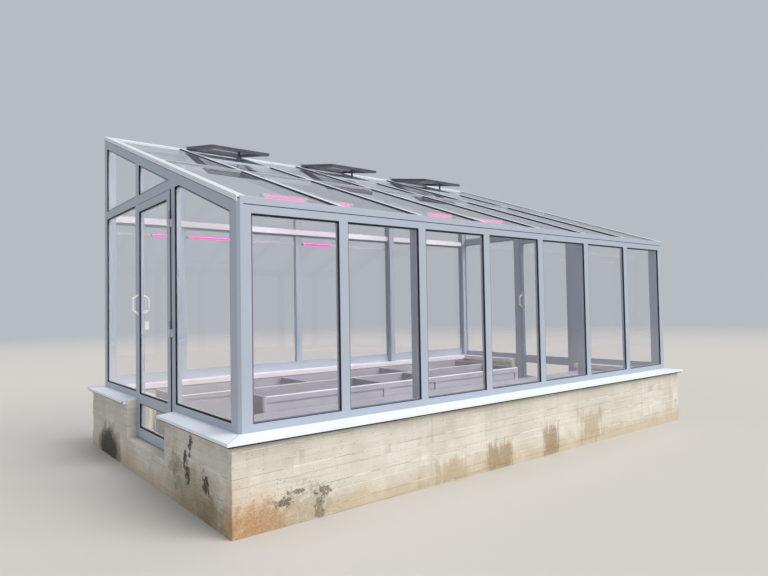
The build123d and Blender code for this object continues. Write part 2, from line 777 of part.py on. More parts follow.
def door_leaf():
    """The near door leaf with its three hinge halves."""
    depth = (LEAF_OUTER, LEAF_OUTER + LEAF_THICKNESS)
    clear_y = (LEAF_Y[0] + LEAF_STILE, LEAF_Y[1] - LEAF_STILE)
    leaf = block(depth, LEAF_Y, LEAF_Z)
    leaf -= block(depth, clear_y, (LEAF_MID_RAIL[1], LEAF_TOP_GLASS))
    leaf -= block(depth, clear_y, (LEAF_LOW_GLASS, LEAF_MID_RAIL[0]))
    for centre in BARREL_CENTRES:
        upper = (centre + BARREL_GAP / 2, centre + BARREL_LENGTH / 2)
        leaf += rod(*HINGE_AXIS, upper, BARREL_RADIUS)
        plate_x = (LEAF_OUTER - HINGE_PLATE_THICKNESS, LEAF_OUTER)
        plate_y = (HINGE_AXIS[1], HINGE_AXIS[1] + HINGE_PLATE_WIDTH)
        leaf += block(plate_x, plate_y, upper)
    return leaf


def hinge_brackets():
    """The three hinge halves on the near door post."""
    brackets = []
    for centre in BARREL_CENTRES:
        lower = (centre - BARREL_LENGTH / 2, centre - BARREL_GAP / 2)
        plate_x = (LEAF_OUTER - HINGE_PLATE_THICKNESS, 0)
        plate_y = (HINGE_AXIS[1] - HINGE_PLATE_WIDTH, HINGE_POST[1])
        plate = block(plate_x, plate_y, lower)
        brackets.append(rod(*HINGE_AXIS, lower, BARREL_RADIUS) + plate)
    return brackets


def door_glass():
    """The tall upper pane and the low bottom pane of the door."""
    sheet = (LEAF_OUTER + GLASS_INSET, LEAF_OUTER + GLASS_INSET + GLASS_THICKNESS)
    clear_y = (LEAF_Y[0] + LEAF_STILE, LEAF_Y[1] - LEAF_STILE)
    upper = block(sheet, clear_y, (LEAF_MID_RAIL[1], LEAF_TOP_GLASS))
    lower = block(sheet, clear_y, (LEAF_LOW_GLASS, LEAF_MID_RAIL[0]))
    return [upper, lower]


def pull_handle(face_x, side):
    """One slant-ended D pull on a face of the leaf; side is -1 outside, +1 inside."""
    bar_x = face_x + side * PULL_STANDOFF
    low_z, high_z = PULL_Z
    spine = Polyline(
        (face_x, PULL_Y, low_z),
        (bar_x, PULL_Y, low_z + PULL_SLANT),
        (bar_x, PULL_Y, high_z - PULL_SLANT),
        (face_x, PULL_Y, high_z),
    )
    section = Plane(origin=spine @ 0, z_dir=spine % 0) * Circle(PULL_RADIUS)
    handle = sweep(section, path=spine, transition=Transition.ROUND)
    seat_x = face_x + side * PULL_SEAT / 2
    for z in PULL_Z:
        seat = Cylinder(PULL_SEAT_RADIUS, PULL_SEAT)
        handle += Pos(seat_x, PULL_Y, z) * Rot(0, 90, 0) * seat
    behind = sorted((face_x, face_x - side * PULL_STANDOFF))
    beside_y = (PULL_Y - PULL_STANDOFF, PULL_Y + PULL_STANDOFF)
    beyond_z = (low_z - PULL_STANDOFF, high_z + PULL_STANDOFF)
    return handle - block(behind, beside_y, beyond_z)


def door_handles():
    """The pulls outside and inside the near door."""
    inner_face = LEAF_OUTER + LEAF_THICKNESS
    return [pull_handle(LEAF_OUTER, -1), pull_handle(inner_face, 1)]


# Inside


def bed(x_range, y_range, top, wall_shares):
    """An open bed with framed, recessed panels and cross walls."""
    whole_z = (PLINTH_LOW, top)
    run = x_range[1] - x_range[0]
    wall_centres = [x_range[0] + share * run for share in wall_shares]
    body = block(x_range, y_range, whole_z)
    body = fillet(body.edges().filter_by(Axis.Z), BED_CORNER)
    inner_y = (y_range[0] + BED_WALL, y_range[1] - BED_WALL)
    for bay in divided(x_range, wall_centres, BED_WALL):
        body -= block(bay, inner_y, whole_z)
    panel_z = (PLINTH_LOW + BED_BASE_RAIL, top - BED_RIM)
    front_y = (y_range[0], y_range[0] + BED_RECESS)
    back_y = (y_range[1] - BED_RECESS, y_range[1])
    for panel in divided(x_range, wall_centres, BED_STILE):
        body -= block(panel, front_y, panel_z)
        body -= block(panel, back_y, panel_z)
    end_y = (y_range[0] + BED_STILE, y_range[1] - BED_STILE)
    body -= block((x_range[0], x_range[0] + BED_RECESS), end_y, panel_z)
    body -= block((x_range[1] - BED_RECESS, x_range[1]), end_y, panel_z)
    return body


def divided(x_range, centres, width):
    """The runs left between uprights of one width: at both ends and at each centre."""
    starts = [x_range[0] + width, *[x + width / 2 for x in centres]]
    ends = [*[x - width / 2 for x in centres], x_range[1] - width]
    return list(zip(starts, ends))


def lit_part(gap, start_share, end_share):
    """The lit run of a lamp, as shares of the gap it hangs in."""
    width = gap[1] - gap[0]
    return (gap[0] + start_share * width, gap[0] + end_share * width)


def front_lights():
    """Lamps on channels between the roof bars, over the front shelf."""
    lamps = []
    for number, start, end in FRONT_LIGHTS:
        gap = rafter_gaps()[number - 1]
        channel_y = (FRONT_LIGHT_Y - CHANNEL_HALF, FRONT_LIGHT_Y + CHANNEL_HALF)
        half = FRONT_LIGHT_WIDTH / 2
        lamp_y = (FRONT_LIGHT_Y - half, FRONT_LIGHT_Y + half)
        channel = roof_strip(gap, channel_y, (CHANNEL_TOP, CHANNEL_UNDERSIDE))
        lit = lit_part(gap, start, end)
        lamps.append(channel + roof_strip(lit, lamp_y, (FRONT_LIGHT_TOP, CHANNEL_TOP)))
    return lamps


def rear_lights():
    """Lamps on channels between the rear posts, under the service rail."""
    lamps = []
    channel_y = REAR_INSIDE_Y + REAR_CHANNEL_INSET
    for number, start, end in REAR_LIGHTS:
        gap = rear_bays()[number - 1]
        channel_z = (REAR_LIGHT_Z - CHANNEL_HALF, REAR_LIGHT_Z + CHANNEL_HALF)
        channel = block(gap, (channel_y, channel_y + REAR_CHANNEL_DEPTH), channel_z)
        lamp_z = (REAR_LIGHT_Z - REAR_LIGHT_HALF, REAR_LIGHT_Z + REAR_LIGHT_HALF)
        lit = lit_part(gap, start, end)
        lamp = block(lit, (channel_y - REAR_LIGHT_DEPTH, channel_y), lamp_z)
        lamps.append(channel + lamp)
    return lamps


def switch_box():
    """The small white box on the inside of the near handle-side post."""
    face = DOOR_FRAME_DEPTH
    box_y = (HANDLE_POST[1] - GLASS_EDGE_GAP - BOX_WIDTH, HANDLE_POST[1] - GLASS_EDGE_GAP)
    return block((face, face + BOX_DEPTH), box_y, (BOX_LOW, BOX_LOW + BOX_HEIGHT))


def build_plinth():
    """Save the concrete pieces and everything laid on them."""
    front, rear, gables = plinth_walls()
    save("front_plinth", front)
    save("rear_plinth", rear)
    save("gable_plinths", *gables, *[to_far(piece) for piece in gables])
    save("door_thresholds", threshold(), to_far(threshold()))
    front_sill, rear_sill, gable_sills = outer_sills()
    save("front_sill", front_sill)
    save("rear_sill", rear_sill)
    save("gable_sills", *gable_sills, *[to_far(piece) for piece in gable_sills])
    save("inner_sills", *inner_sills())
    save("front_shelf", front_shelf())


def build_frame():
    """Save the posts, rails, rafters and fixed glass."""
    bottom_rail, head_rail = front_rails()
    eaves_bar = eaves()
    ridge = ridge_beam()
    corner = front_post()
    rafter = gable_rafter()
    tall_corner = rear_post() - rafter
    rear_rail_zone = block(
        (CORNER_FACE, LENGTH - CORNER_FACE),
        (REAR_INSIDE_Y, HOUSE_DEPTH),
        (0, REAR_BOTTOM_RAIL),
    )
    crossing = [bottom_rail, head_rail, eaves_bar, ridge, rear_rail_zone]
    portals = [portal(x, crossing) for x in PORTAL_X]
    bars = [roof_bar(x, [eaves_bar]) for x in PLAIN_X]
    rear_rail, transoms, service = rear_wall(portals)
    front_panes, rear_panes = wall_glass()
    front_z = (BOTTOM_RAIL, HEAD_RAIL_LOW)
    rear_z = (REAR_BOTTOM_RAIL, RIDGE_BEAM_LOW)
    front_skin = (0, PROFILE_DEPTH)
    rear_skin = (REAR_INSIDE_Y, HOUSE_DEPTH)
    posts = [corner, tall_corner]
    save("corner_posts", *posts, *[to_far(post) for post in posts])
    save("front_mullions", *[mullion(x, front_skin, front_z) for x in PLAIN_X])
    save("rear_mullions", *[mullion(x, rear_skin, rear_z) for x in REAR_PLAIN_X])
    save("portal_frames", *portals)
    save("front_rails", bottom_rail, head_rail)
    save("eaves_profile", eaves_bar)
    save("ridge_beam", ridge)
    save("rear_bottom_rail", rear_rail)
    save("rear_transoms", *transoms)
    save("service_rail", service)
    save("gable_rafters", rafter, to_far(rafter))
    save("roof_bars", *bars)
    save("roof_purlins", *purlins())
    save("front_glass", *front_panes)
    save("rear_glass", *rear_panes)
    frame = gable_frame(rafter)
    panes = gable_glass(frame, rafter)
    save("near_gable_frame", frame)
    save("far_gable_frame", to_far(frame))
    save("gable_glass", *panes, *[to_far(pane) for pane in panes])


def build_roof():
    """Save the roof's caps, its glass and the raised vents."""
    caps = roof_caps()
    save("roof_edge_cap", edge_cap())
    save("roof_caps", caps)
    save("roof_glass", *roof_glass())
    curbs = []
    frames = []
    panes = []
    openers = []
    for number, span in roof_bays():
        if number in VENT_BAYS:
            frame, pane = vent_leaf(span)
            frames.append(frame)
            panes.append(pane)
            curbs.append(vent_curb(span, frame, caps))
            openers.append(vent_opener(span, frame))
    save("vent_curbs", *curbs)
    save("vent_frames", *frames)
    save("vent_glass", *panes)
    save("vent_openers", *openers)


def build_doors():
    """Save both doors and the hinge halves on their posts."""
    leaf = door_leaf()
    panes = door_glass()
    handles = door_handles()
    brackets = hinge_brackets()
    save("near_door_leaf", leaf)
    save("near_door_glass", *panes)
    save("near_door_handles", *handles)
    save("far_door_leaf", to_far(leaf))
    save("far_door_glass", *[to_far(pane) for pane in panes])
    save("far_door_handles", *[to_far(handle) for handle in handles])
    save("hinge_brackets", *brackets, *[to_far(bracket) for bracket in brackets])


def build_inside():
    """Save the beds, the lights and the switch box."""
    front_bed = bed(FRONT_BED_X, FRONT_BED_Y, FRONT_BED_TOP, FRONT_BED_WALL_SHARES)
    rear_bed = bed(REAR_BED_X, REAR_BED_Y, REAR_BED_TOP, REAR_BED_WALL_SHARES)
    save("front_bed", front_bed)
    save("rear_bed", rear_bed)
    save("grow_lights", *front_lights(), *rear_lights())
    save("switch_box", switch_box())


def main():
    """Build every piece."""
    os.makedirs("parts", exist_ok=True)
    build_plinth()
    build_frame()
    build_roof()
    build_doors()
    build_inside()


main()
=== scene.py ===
"""Lean-to glass greenhouse: finishes, seals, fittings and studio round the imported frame.

Every length is in metres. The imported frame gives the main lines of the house, and each
class below holds the sizes of one sub-assembly and builds its pieces onto that frame.
"""

import logging
import math
from dataclasses import dataclass
from enum import Enum
from functools import cached_property
from typing import Iterable, Sequence

import bmesh
import bpy
from bmesh.types import BMEdge, BMesh, BMFace, BMVert
from bpy.types import Material, Node, NodeSocket, NodeTree
from mathutils import Matrix, Vector, noise


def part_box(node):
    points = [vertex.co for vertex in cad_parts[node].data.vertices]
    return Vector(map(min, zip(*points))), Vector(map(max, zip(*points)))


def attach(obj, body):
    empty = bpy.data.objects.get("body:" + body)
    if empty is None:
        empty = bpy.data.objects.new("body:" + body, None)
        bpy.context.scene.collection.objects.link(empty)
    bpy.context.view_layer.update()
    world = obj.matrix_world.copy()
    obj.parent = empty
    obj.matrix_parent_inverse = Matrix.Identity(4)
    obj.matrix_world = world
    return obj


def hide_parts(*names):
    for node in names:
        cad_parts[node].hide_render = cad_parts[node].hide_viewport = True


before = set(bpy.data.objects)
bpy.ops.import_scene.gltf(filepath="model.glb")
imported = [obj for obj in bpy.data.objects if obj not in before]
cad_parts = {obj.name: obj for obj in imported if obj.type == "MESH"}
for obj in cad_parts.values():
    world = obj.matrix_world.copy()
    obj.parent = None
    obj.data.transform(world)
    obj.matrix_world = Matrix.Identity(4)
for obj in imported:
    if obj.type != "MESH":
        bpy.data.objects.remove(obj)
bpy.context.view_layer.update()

LOG = logging.getLogger("greenhouse")
WELD = 0.0001
FINE_WELD = 0.00001
ROUND_STEPS = 2
FLAT = math.radians(1.0)
ALMOST_ALONG = 0.9
ACROSS = Vector((1.0, 0.0, 0.0))
BACK = Vector((0.0, 1.0, 0.0))
UP = Vector((0.0, 0.0, 1.0))
Source = Node | NodeSocket | tuple
Pair = tuple[float, float]
Triple = tuple[float, float, float]


class Body(Enum):
    """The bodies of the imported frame."""

    HOUSE = "greenhouse"
    NEAR_DOOR = "near_door"
    FAR_DOOR = "far_door"


class Slot(Enum):
    """The record's material slots."""

    CONCRETE = "concrete"
    SILL = "sill_paint"
    FRAME = "frame_paint"
    BOARD = "white_board"
    CAP = "cap_paint"
    GLASS = "clear_glass"
    VENT = "vent_paint"
    OPENER = "opener_plastic"
    HANDLE = "handle_steel"
    HINGE = "hinge_paint"
    BED = "bed_paint"
    LAMP = "lamp"
    BOX = "box_plastic"


# Shared helpers


def linear(hex_colour: str) -> tuple[float, float, float, float]:
    """Turn six sRGB hex digits into a linear colour with an alpha of 1."""
    channels = [int(hex_colour[start : start + 2], 16) / 255 for start in (0, 2, 4)]
    return (*[((c + 0.055) / 1.055) ** 2.4 if c > 0.04045 else c / 12.92 for c in channels], 1.0)


class Shading:
    """A node tree, with one short way to add to it."""

    def __init__(self, tree: NodeTree) -> None:
        """Empty a tree and take it."""
        tree.nodes.clear()
        self.tree = tree

    @cached_property
    def place(self) -> NodeSocket:
        """Give the object's own coordinates."""
        return self.add("TexCoord").outputs["Object"]

    def add(self, kind: str, inputs: dict | None = None, **settings: object) -> Node:
        """Add a node with its settings, socket values and links.

        Args:
            kind: Blender's identifier of the node, without its start "ShaderNode".
            inputs: Values, sockets or nodes (for their first output), by input name or number.
            settings: Attributes of the node.

        Returns:
            The new node.
        """
        node = self.tree.nodes.new("ShaderNode" + kind)
        for name, value in settings.items():
            setattr(node, name, value)
        for key, value in (inputs or {}).items():
            source = value.outputs[0] if isinstance(value, Node) else value
            if isinstance(source, NodeSocket):
                self.tree.links.new(source, node.inputs[key])
            else:
                node.inputs[key].default_value = source
        return node

    def faded(self, value: Source, low: float, high: float, most: float = 1.0) -> Node:
        """Turn a value into a soft mask: 0 at the low limit, and the most at the high one."""
        inputs = {"Value": value, "From Min": low, "From Max": high, "To Max": most}
        return self.add("MapRange", inputs, interpolation_type="SMOOTHSTEP")

    def blended(self, share: Source, first: Source, second: str) -> NodeSocket:
        """Lay a hex colour over another colour, where the share says how much of it shows."""
        inputs = {0: share, 6: first, 7: linear(second)}
        return self.add("Mix", inputs, data_type="RGBA").outputs[2]


def welded(node_name: str) -> BMesh:
    """Copy a CAD node's mesh, weld it and join its flat faces.

    Args:
        node_name: The CAD node.

    Returns:
        A new bmesh.
    """
    mesh = bmesh.new()
    mesh.from_mesh(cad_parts[node_name].data)
    bmesh.ops.remove_doubles(mesh, verts=mesh.verts, dist=WELD)
    bmesh.ops.dissolve_limit(mesh, angle_limit=FLAT, verts=mesh.verts, edges=mesh.edges)
    mesh.normal_update()
    return mesh


def islands(mesh: BMesh) -> list[list[BMFace]]:
    """Group a mesh's faces into its separate solids.

    Args:
        mesh: The mesh to read.

    Returns:
        One list of faces for each solid.
    """
    left = set(mesh.faces)
    groups = []
    for seed in mesh.faces:
        if seed not in left:
            continue
        left.remove(seed)
        group = [seed]
        for face in group:
            for neighbour in (other for edge in face.edges for other in edge.link_faces):
                if neighbour in left:
                    left.remove(neighbour)
                    group.append(neighbour)
        groups.append(group)
    return groups


def extent(faces: Iterable[BMFace]) -> tuple[Vector, Vector]:
    """Give the lowest and the highest corner of some faces."""
    points = [vert.co for face in faces for vert in face.verts]
    low, high = (Vector([pick(point[axis] for point in points) for axis in range(3)]) for pick in (min, max))
    return low, high


def solid_boxes(node_name: str) -> list[tuple[Vector, Vector]]:
    """List the boxes of a CAD node's solids.

    Args:
        node_name: The CAD node.

    Returns:
        The lowest and highest corner of each solid, from low x to high x.
    """
    mesh = welded(node_name)
    boxes = [extent(group) for group in islands(mesh)]
    mesh.free()
    return sorted(boxes, key=lambda corners: (corners[0].x, corners[0].y, corners[0].z))


def edges_at(verts: Iterable[BMVert]) -> list[BMEdge]:
    """List the edges that meet some vertices, each of them once."""
    return list(dict.fromkeys(edge for vert in verts for edge in vert.link_edges))


def rounded(mesh: BMesh, edges: list[BMEdge], width: float) -> list[BMVert]:
    """Round some edges of a mesh by a width, and give the new vertices."""
    made = bmesh.ops.bevel(
        mesh, geom=edges, offset=width, segments=ROUND_STEPS, profile=0.5, affect="EDGES", material=-1
    )
    return made["verts"]


def add_box(
    mesh: BMesh, corner: Sequence[float], opposite: Sequence[float], round_by: float = 0.0
) -> list[BMVert]:
    """Add a box between two opposite corners, with rounded edges.

    Args:
        mesh: The mesh to add to.
        corner: One corner.
        opposite: The corner furthest from it.
        round_by: Width of the edge rounding.

    Returns:
        The new vertices.
    """
    low, high = (Vector([pick(pair) for pair in zip(corner, opposite)]) for pick in (min, max))
    verts = bmesh.ops.create_cube(mesh, size=1.0)["verts"]
    bmesh.ops.scale(mesh, vec=high - low, verts=verts)
    bmesh.ops.translate(mesh, vec=(low + high) / 2, verts=verts)
    return rounded(mesh, edges_at(verts), round_by) if round_by else verts


def add_rod(
    mesh: BMesh, start: Sequence[float], end: Sequence[float], radius: float, sides: int
) -> list[BMVert]:
    """Add a closed round rod between two points.

    Args:
        mesh: The mesh to add to.
        start: Middle of the first end.
        end: Middle of the other end.
        radius: The rod's radius.
        sides: Number of sides.

    Returns:
        The new vertices.
    """
    start, end = Vector(start), Vector(end)
    run = end - start
    place = Matrix.Translation((start + end) / 2) @ run.to_track_quat("Z", "Y").to_matrix().to_4x4()
    made = bmesh.ops.create_cone(
        mesh, cap_ends=True, segments=sides, radius1=radius, radius2=radius, depth=run.length, matrix=place
    )
    return made["verts"]


def finished(
    name: str, mesh: BMesh, finish: Material, body: Body, smooth_below: float = 35.0
) -> bpy.types.Object:
    """Turn a bmesh into a piece that rides on a body.

    Args:
        name: The piece's name.
        mesh: The finished bmesh, which is freed.
        finish: Its material.
        body: The body that it rides on.
        smooth_below: Edges flatter than this many degrees shade smooth.

    Returns:
        The new object.
    """
    bmesh.ops.recalc_face_normals(mesh, faces=mesh.faces)
    data = bpy.data.meshes.new(name)
    mesh.to_mesh(data)
    mesh.free()
    data.shade_smooth()
    data.set_sharp_from_angle(angle=math.radians(smooth_below))
    data.materials.append(finish)
    piece = bpy.data.objects.new(name, data)
    bpy.context.scene.collection.objects.link(piece)
    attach(piece, body.value)
    LOG.info("%s: %d faces on %s", name, len(data.polygons), body.value)
    return piece


@dataclass(frozen=True)
class House:
    """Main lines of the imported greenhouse, read from its nodes."""

    near: float
    far: float
    front: float
    rear: float
    sill: float
    roof_foot: float
    slope: float
    mullions: tuple[float, ...]

    @classmethod
    def measured(cls) -> "House":
        """Read the lines from the frame's boxes.

        Returns:
            The measured house.
        """
        cap_depth = 0.012
        glass_depth = 0.008
        low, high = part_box("corner_posts")
        glass_low, glass_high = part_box("roof_glass")
        slope = (glass_high[2] - glass_low[2] - glass_depth) / (glass_high[1] - glass_low[1])
        foot = glass_low[2] + glass_depth + cap_depth - slope * (glass_low[1] - low[1])
        panes = solid_boxes("front_glass")
        middles = [(before[1].x + after[0].x) / 2 for before, after in zip(panes, panes[1:])]
        return cls(low[0], high[0], low[1], high[1], low[2], foot, slope, tuple(middles))

    def gables(self) -> tuple[tuple[str, float, int, Body], ...]:
        """Give each gable's name, its outer face, the way out along x and its door."""
        return ("near", self.near, -1, Body.NEAR_DOOR), ("far", self.far, 1, Body.FAR_DOOR)

    def walls(self) -> tuple[tuple[float, int], ...]:
        """Give the outer face of the front and the rear wall, and the way out along y."""
        return (self.front, -1), (self.rear, 1)


# Finishes


@dataclass(frozen=True)
class Finish:
    """One real material: a shader that takes what the finish draws."""

    name: str

    def surface(self, nodes: Shading) -> dict:
        """Draw the surface, and give the inputs of the shader."""
        raise NotImplementedError

    def output(self, nodes: Shading, shader: Node) -> Node:
        """Give what the material puts out: the shader, unless a finish adds to it."""
        return shader

    def make(self) -> Material:
        """Build the material.

        Returns:
            The material.
        """
        material = bpy.data.materials.new(self.name)
        material.use_nodes = True
        nodes = Shading(material.node_tree)
        shader = nodes.add("BsdfPrincipled", self.surface(nodes))
        nodes.add("OutputMaterial", {"Surface": self.output(nodes, shader)})
        return material


@dataclass(frozen=True)
class WornFinish(Finish):
    """A colour with soft clouds of wear over it, an uneven shine and a fine skin."""

    colour: str
    worn: str
    roughness: float = 0.5
    # Size and detail of the clouds, the limits that they fade between and how much shows
    cloud: Pair = (0.1, 1.0)
    fade: Triple = (0.5, 1.0, 0.0)
    # What the clouds add to the roughness
    shine: Pair = (0.0, 0.0)
    # Size and detail of the skin's bumps, their strength and their depth
    skin: Pair = (0.001, 1.0)
    relief: Pair = (0.0, 0.0)
    metallic: float = 0.0
    glow: str = "000000"
    glow_strength: float = 0.0

    def noise(self, nodes: Shading, size: float, detail: float) -> Node:
        """Add a pattern of a real size."""
        return nodes.add("TexNoise", {"Vector": nodes.place, "Scale": 1 / size, "Detail": detail})

    def wear(self, nodes: Shading, clouds: Node) -> Node:
        """Give the share of worn colour."""
        return nodes.faded(clouds, *self.fade)

    def surface(self, nodes: Shading) -> dict:
        """Draw the colour, the wear, the shine and the skin.

        Args:
            nodes: The material's nodes.

        Returns:
            The inputs of the shader.
        """
        clouds = self.noise(nodes, *self.cloud)
        smooth, rough = (self.roughness + more for more in self.shine)
        strength, depth = self.relief
        relief = {"Strength": strength, "Distance": depth, "Height": self.noise(nodes, *self.skin)}
        return {
            "Base Color": nodes.blended(self.wear(nodes, clouds), linear(self.colour), self.worn),
            "Roughness": nodes.add("MapRange", {"Value": clouds, "To Min": smooth, "To Max": rough}),
            "Normal": nodes.add("Bump", relief),
            "Metallic": self.metallic,
            "Emission Color": linear(self.glow),
            "Emission Strength": self.glow_strength,
        }


@dataclass(frozen=True)
class PowderCoat(WornFinish):
    """Polyester powder coat, baked on aluminium or steel: satin, with a faint orange peel."""

    roughness: float = 0.38
    cloud: Pair = (0.4545, 4.0)
    fade: Triple = (0.42, 0.72, 0.16)
    shine: Pair = (-0.05, 0.08)
    skin: Pair = (0.0015, 1.0)
    relief: Pair = (0.06, 0.0004)
    # Rain streaks: their width, how they are drawn out downwards and how they fade in
    streak: float = 0.012
    streak_down: float = 1.4
    streak_fade: Triple = (0.55, 0.80, 0.12)

    def wear(self, nodes: Shading, clouds: Node) -> Node:
        """Add thin rain streaks to the dust.

        Args:
            nodes: The material's nodes.
            clouds: The clouds of dust.

        Returns:
            The share of worn colour.
        """
        thin = (1 / self.streak, 1 / self.streak, self.streak_down)
        drawn = nodes.add("Mapping", {"Vector": nodes.place, "Scale": thin})
        streaks = nodes.add("TexNoise", {"Vector": drawn, "Scale": 0.35, "Detail": 3.0})
        parts = {0: nodes.faded(clouds, *self.fade), 1: nodes.faded(streaks, *self.streak_fade)}
        return nodes.add("Math", parts, operation="ADD")


@dataclass(frozen=True)
class RubberSeal(WornFinish):
    """Extruded black glazing rubber: matt, slightly greyed by dust."""

    name: str = "black_glazing_rubber"
    colour: str = "17181B"
    worn: str = "34363A"
    roughness: float = 0.55
    cloud: Pair = (0.1111, 5.0)
    fade: Triple = (0.45, 0.8, 1.0)
    shine: Pair = (0.0, 0.25)


@dataclass(frozen=True)
class MouldedPlastic(WornFinish):
    """Moulded or foamed plastic: even colour with faint scuffs and a soft, broad shine."""

    roughness: float = 0.42
    cloud: Pair = (0.1667, 6.0)
    fade: Triple = (0.5, 0.8, 0.35)
    shine: Pair = (-0.08, 0.15)
    # Coarser than a real moulded skin, so that it shows
    skin: Pair = (0.004, 2.0)
    relief: Pair = (0.12, 0.0005)


@dataclass(frozen=True)
class ScrewSteel(WornFinish):
    """Bright stainless steel of small screws: a clear metal shine with fine turning marks."""

    name: str = "stainless_screw_steel"
    colour: str = "C9C8C4"
    worn: str = "C9C8C4"
    roughness: float = 0.22
    cloud: Pair = (0.001667, 2.0)
    shine: Pair = (0.0, 0.18)
    metallic: float = 1.0


@dataclass(frozen=True)
class LitDiffuser(WornFinish):
    """Frosted cover over pink growing lamps, lit from within: it glows evenly."""

    name: str = "lit_pink_diffuser"
    colour: str = "8A1458"
    worn: str = "8A1458"
    # Coarser than real frosting, so that it shows
    skin: Pair = (0.0025, 1.0)
    relief: Pair = (0.1, 0.0003)
    glow: str = "FF008A"
    glow_strength: float = 3.4


@dataclass(frozen=True)
class FloatGlass(Finish):
    """Clear float glass: colourless face on, mirror-like at a flat angle."""

    name: str = "clear_float_glass"
    colour: str = "FBFAFC"
    shade: str = "F5F4F6"

    def surface(self, nodes: Shading) -> dict:
        """Give smooth clear glass, which has no pattern."""
        return {"Base Color": linear(self.colour), "Roughness": 0.0, "IOR": 1.5, "Transmission Weight": 1.0}

    def output(self, nodes: Shading, shader: Node) -> Node:
        """Let light through the panes, so that they throw only a faint shadow."""
        rays = nodes.add("LightPath").outputs["Is Shadow Ray"]
        clear = nodes.add("BsdfTransparent", {"Color": linear(self.shade)})
        return nodes.add("MixShader", {0: rays, 1: shader, 2: clear})


@dataclass(frozen=True)
class Stain:
    """One mark on the concrete: a soft blot with a ragged edge, or a square one that runs down."""

    colour: str
    centre: Triple
    reach: Triple
    strength: float = 0.8
    ragged: float = 0.35
    grain: float = 9.0
    soft: float = 0.35
    square: bool = False
    run: Triple = (1.0, 1.0, 1.0)

    def away(self, nodes: Shading) -> Source:
        """Measure how far a point is from the middle, where 1 is the stain's edge.

        Args:
            nodes: The material's nodes.

        Returns:
            The distance.
        """
        centred = nodes.add("VectorMath", {0: nodes.place, 1: self.centre}, operation="SUBTRACT")
        scaled = nodes.add("VectorMath", {0: centred, 1: self.reach}, operation="DIVIDE")
        if not self.square:
            return nodes.add("VectorMath", {0: scaled}, operation="LENGTH").outputs["Value"]
        size = nodes.add("VectorMath", {0: scaled}, operation="ABSOLUTE")
        x, y, z = nodes.add("SeparateXYZ", {"Vector": size}).outputs
        flat = nodes.add("Math", {0: x, 1: z}, operation="MAXIMUM")
        return nodes.add("Math", {0: flat, 1: y}, operation="MAXIMUM")

    def over(self, nodes: Shading, colour: NodeSocket) -> NodeSocket:
        """Lay the stain over a colour.

        Args:
            nodes: The material's nodes.
            colour: The colour so far.

        Returns:
            The stained colour.
        """
        drawn = nodes.add("Mapping", {"Vector": nodes.place, "Scale": self.run})
        clods = {"Vector": drawn, "Scale": self.grain, "Detail": 6.0, "Roughness": 0.65}
        noisy = {"Value": nodes.add("TexNoise", clods), "From Min": 0.3, "From Max": 0.7}
        shift = nodes.add("MapRange", noisy | {"To Min": -self.ragged, "To Max": self.ragged})
        edge = nodes.add("Math", {0: self.away(nodes), 1: shift}, operation="ADD")
        mask = nodes.faded(edge, 1.05, 1.05 - self.soft, self.strength)
        speckle = nodes.add("TexNoise", {"Vector": drawn, "Scale": 90.0, "Detail": 4.0})
        wear = {"Value": speckle, "From Min": 0.35, "From Max": 0.65, "To Min": 0.7, "To Max": 1.25}
        worn = nodes.add("MapRange", wear)
        share = nodes.add("Math", {0: mask, 1: worn}, operation="MULTIPLY", use_clamp=True)
        return nodes.blended(share, colour, self.colour)


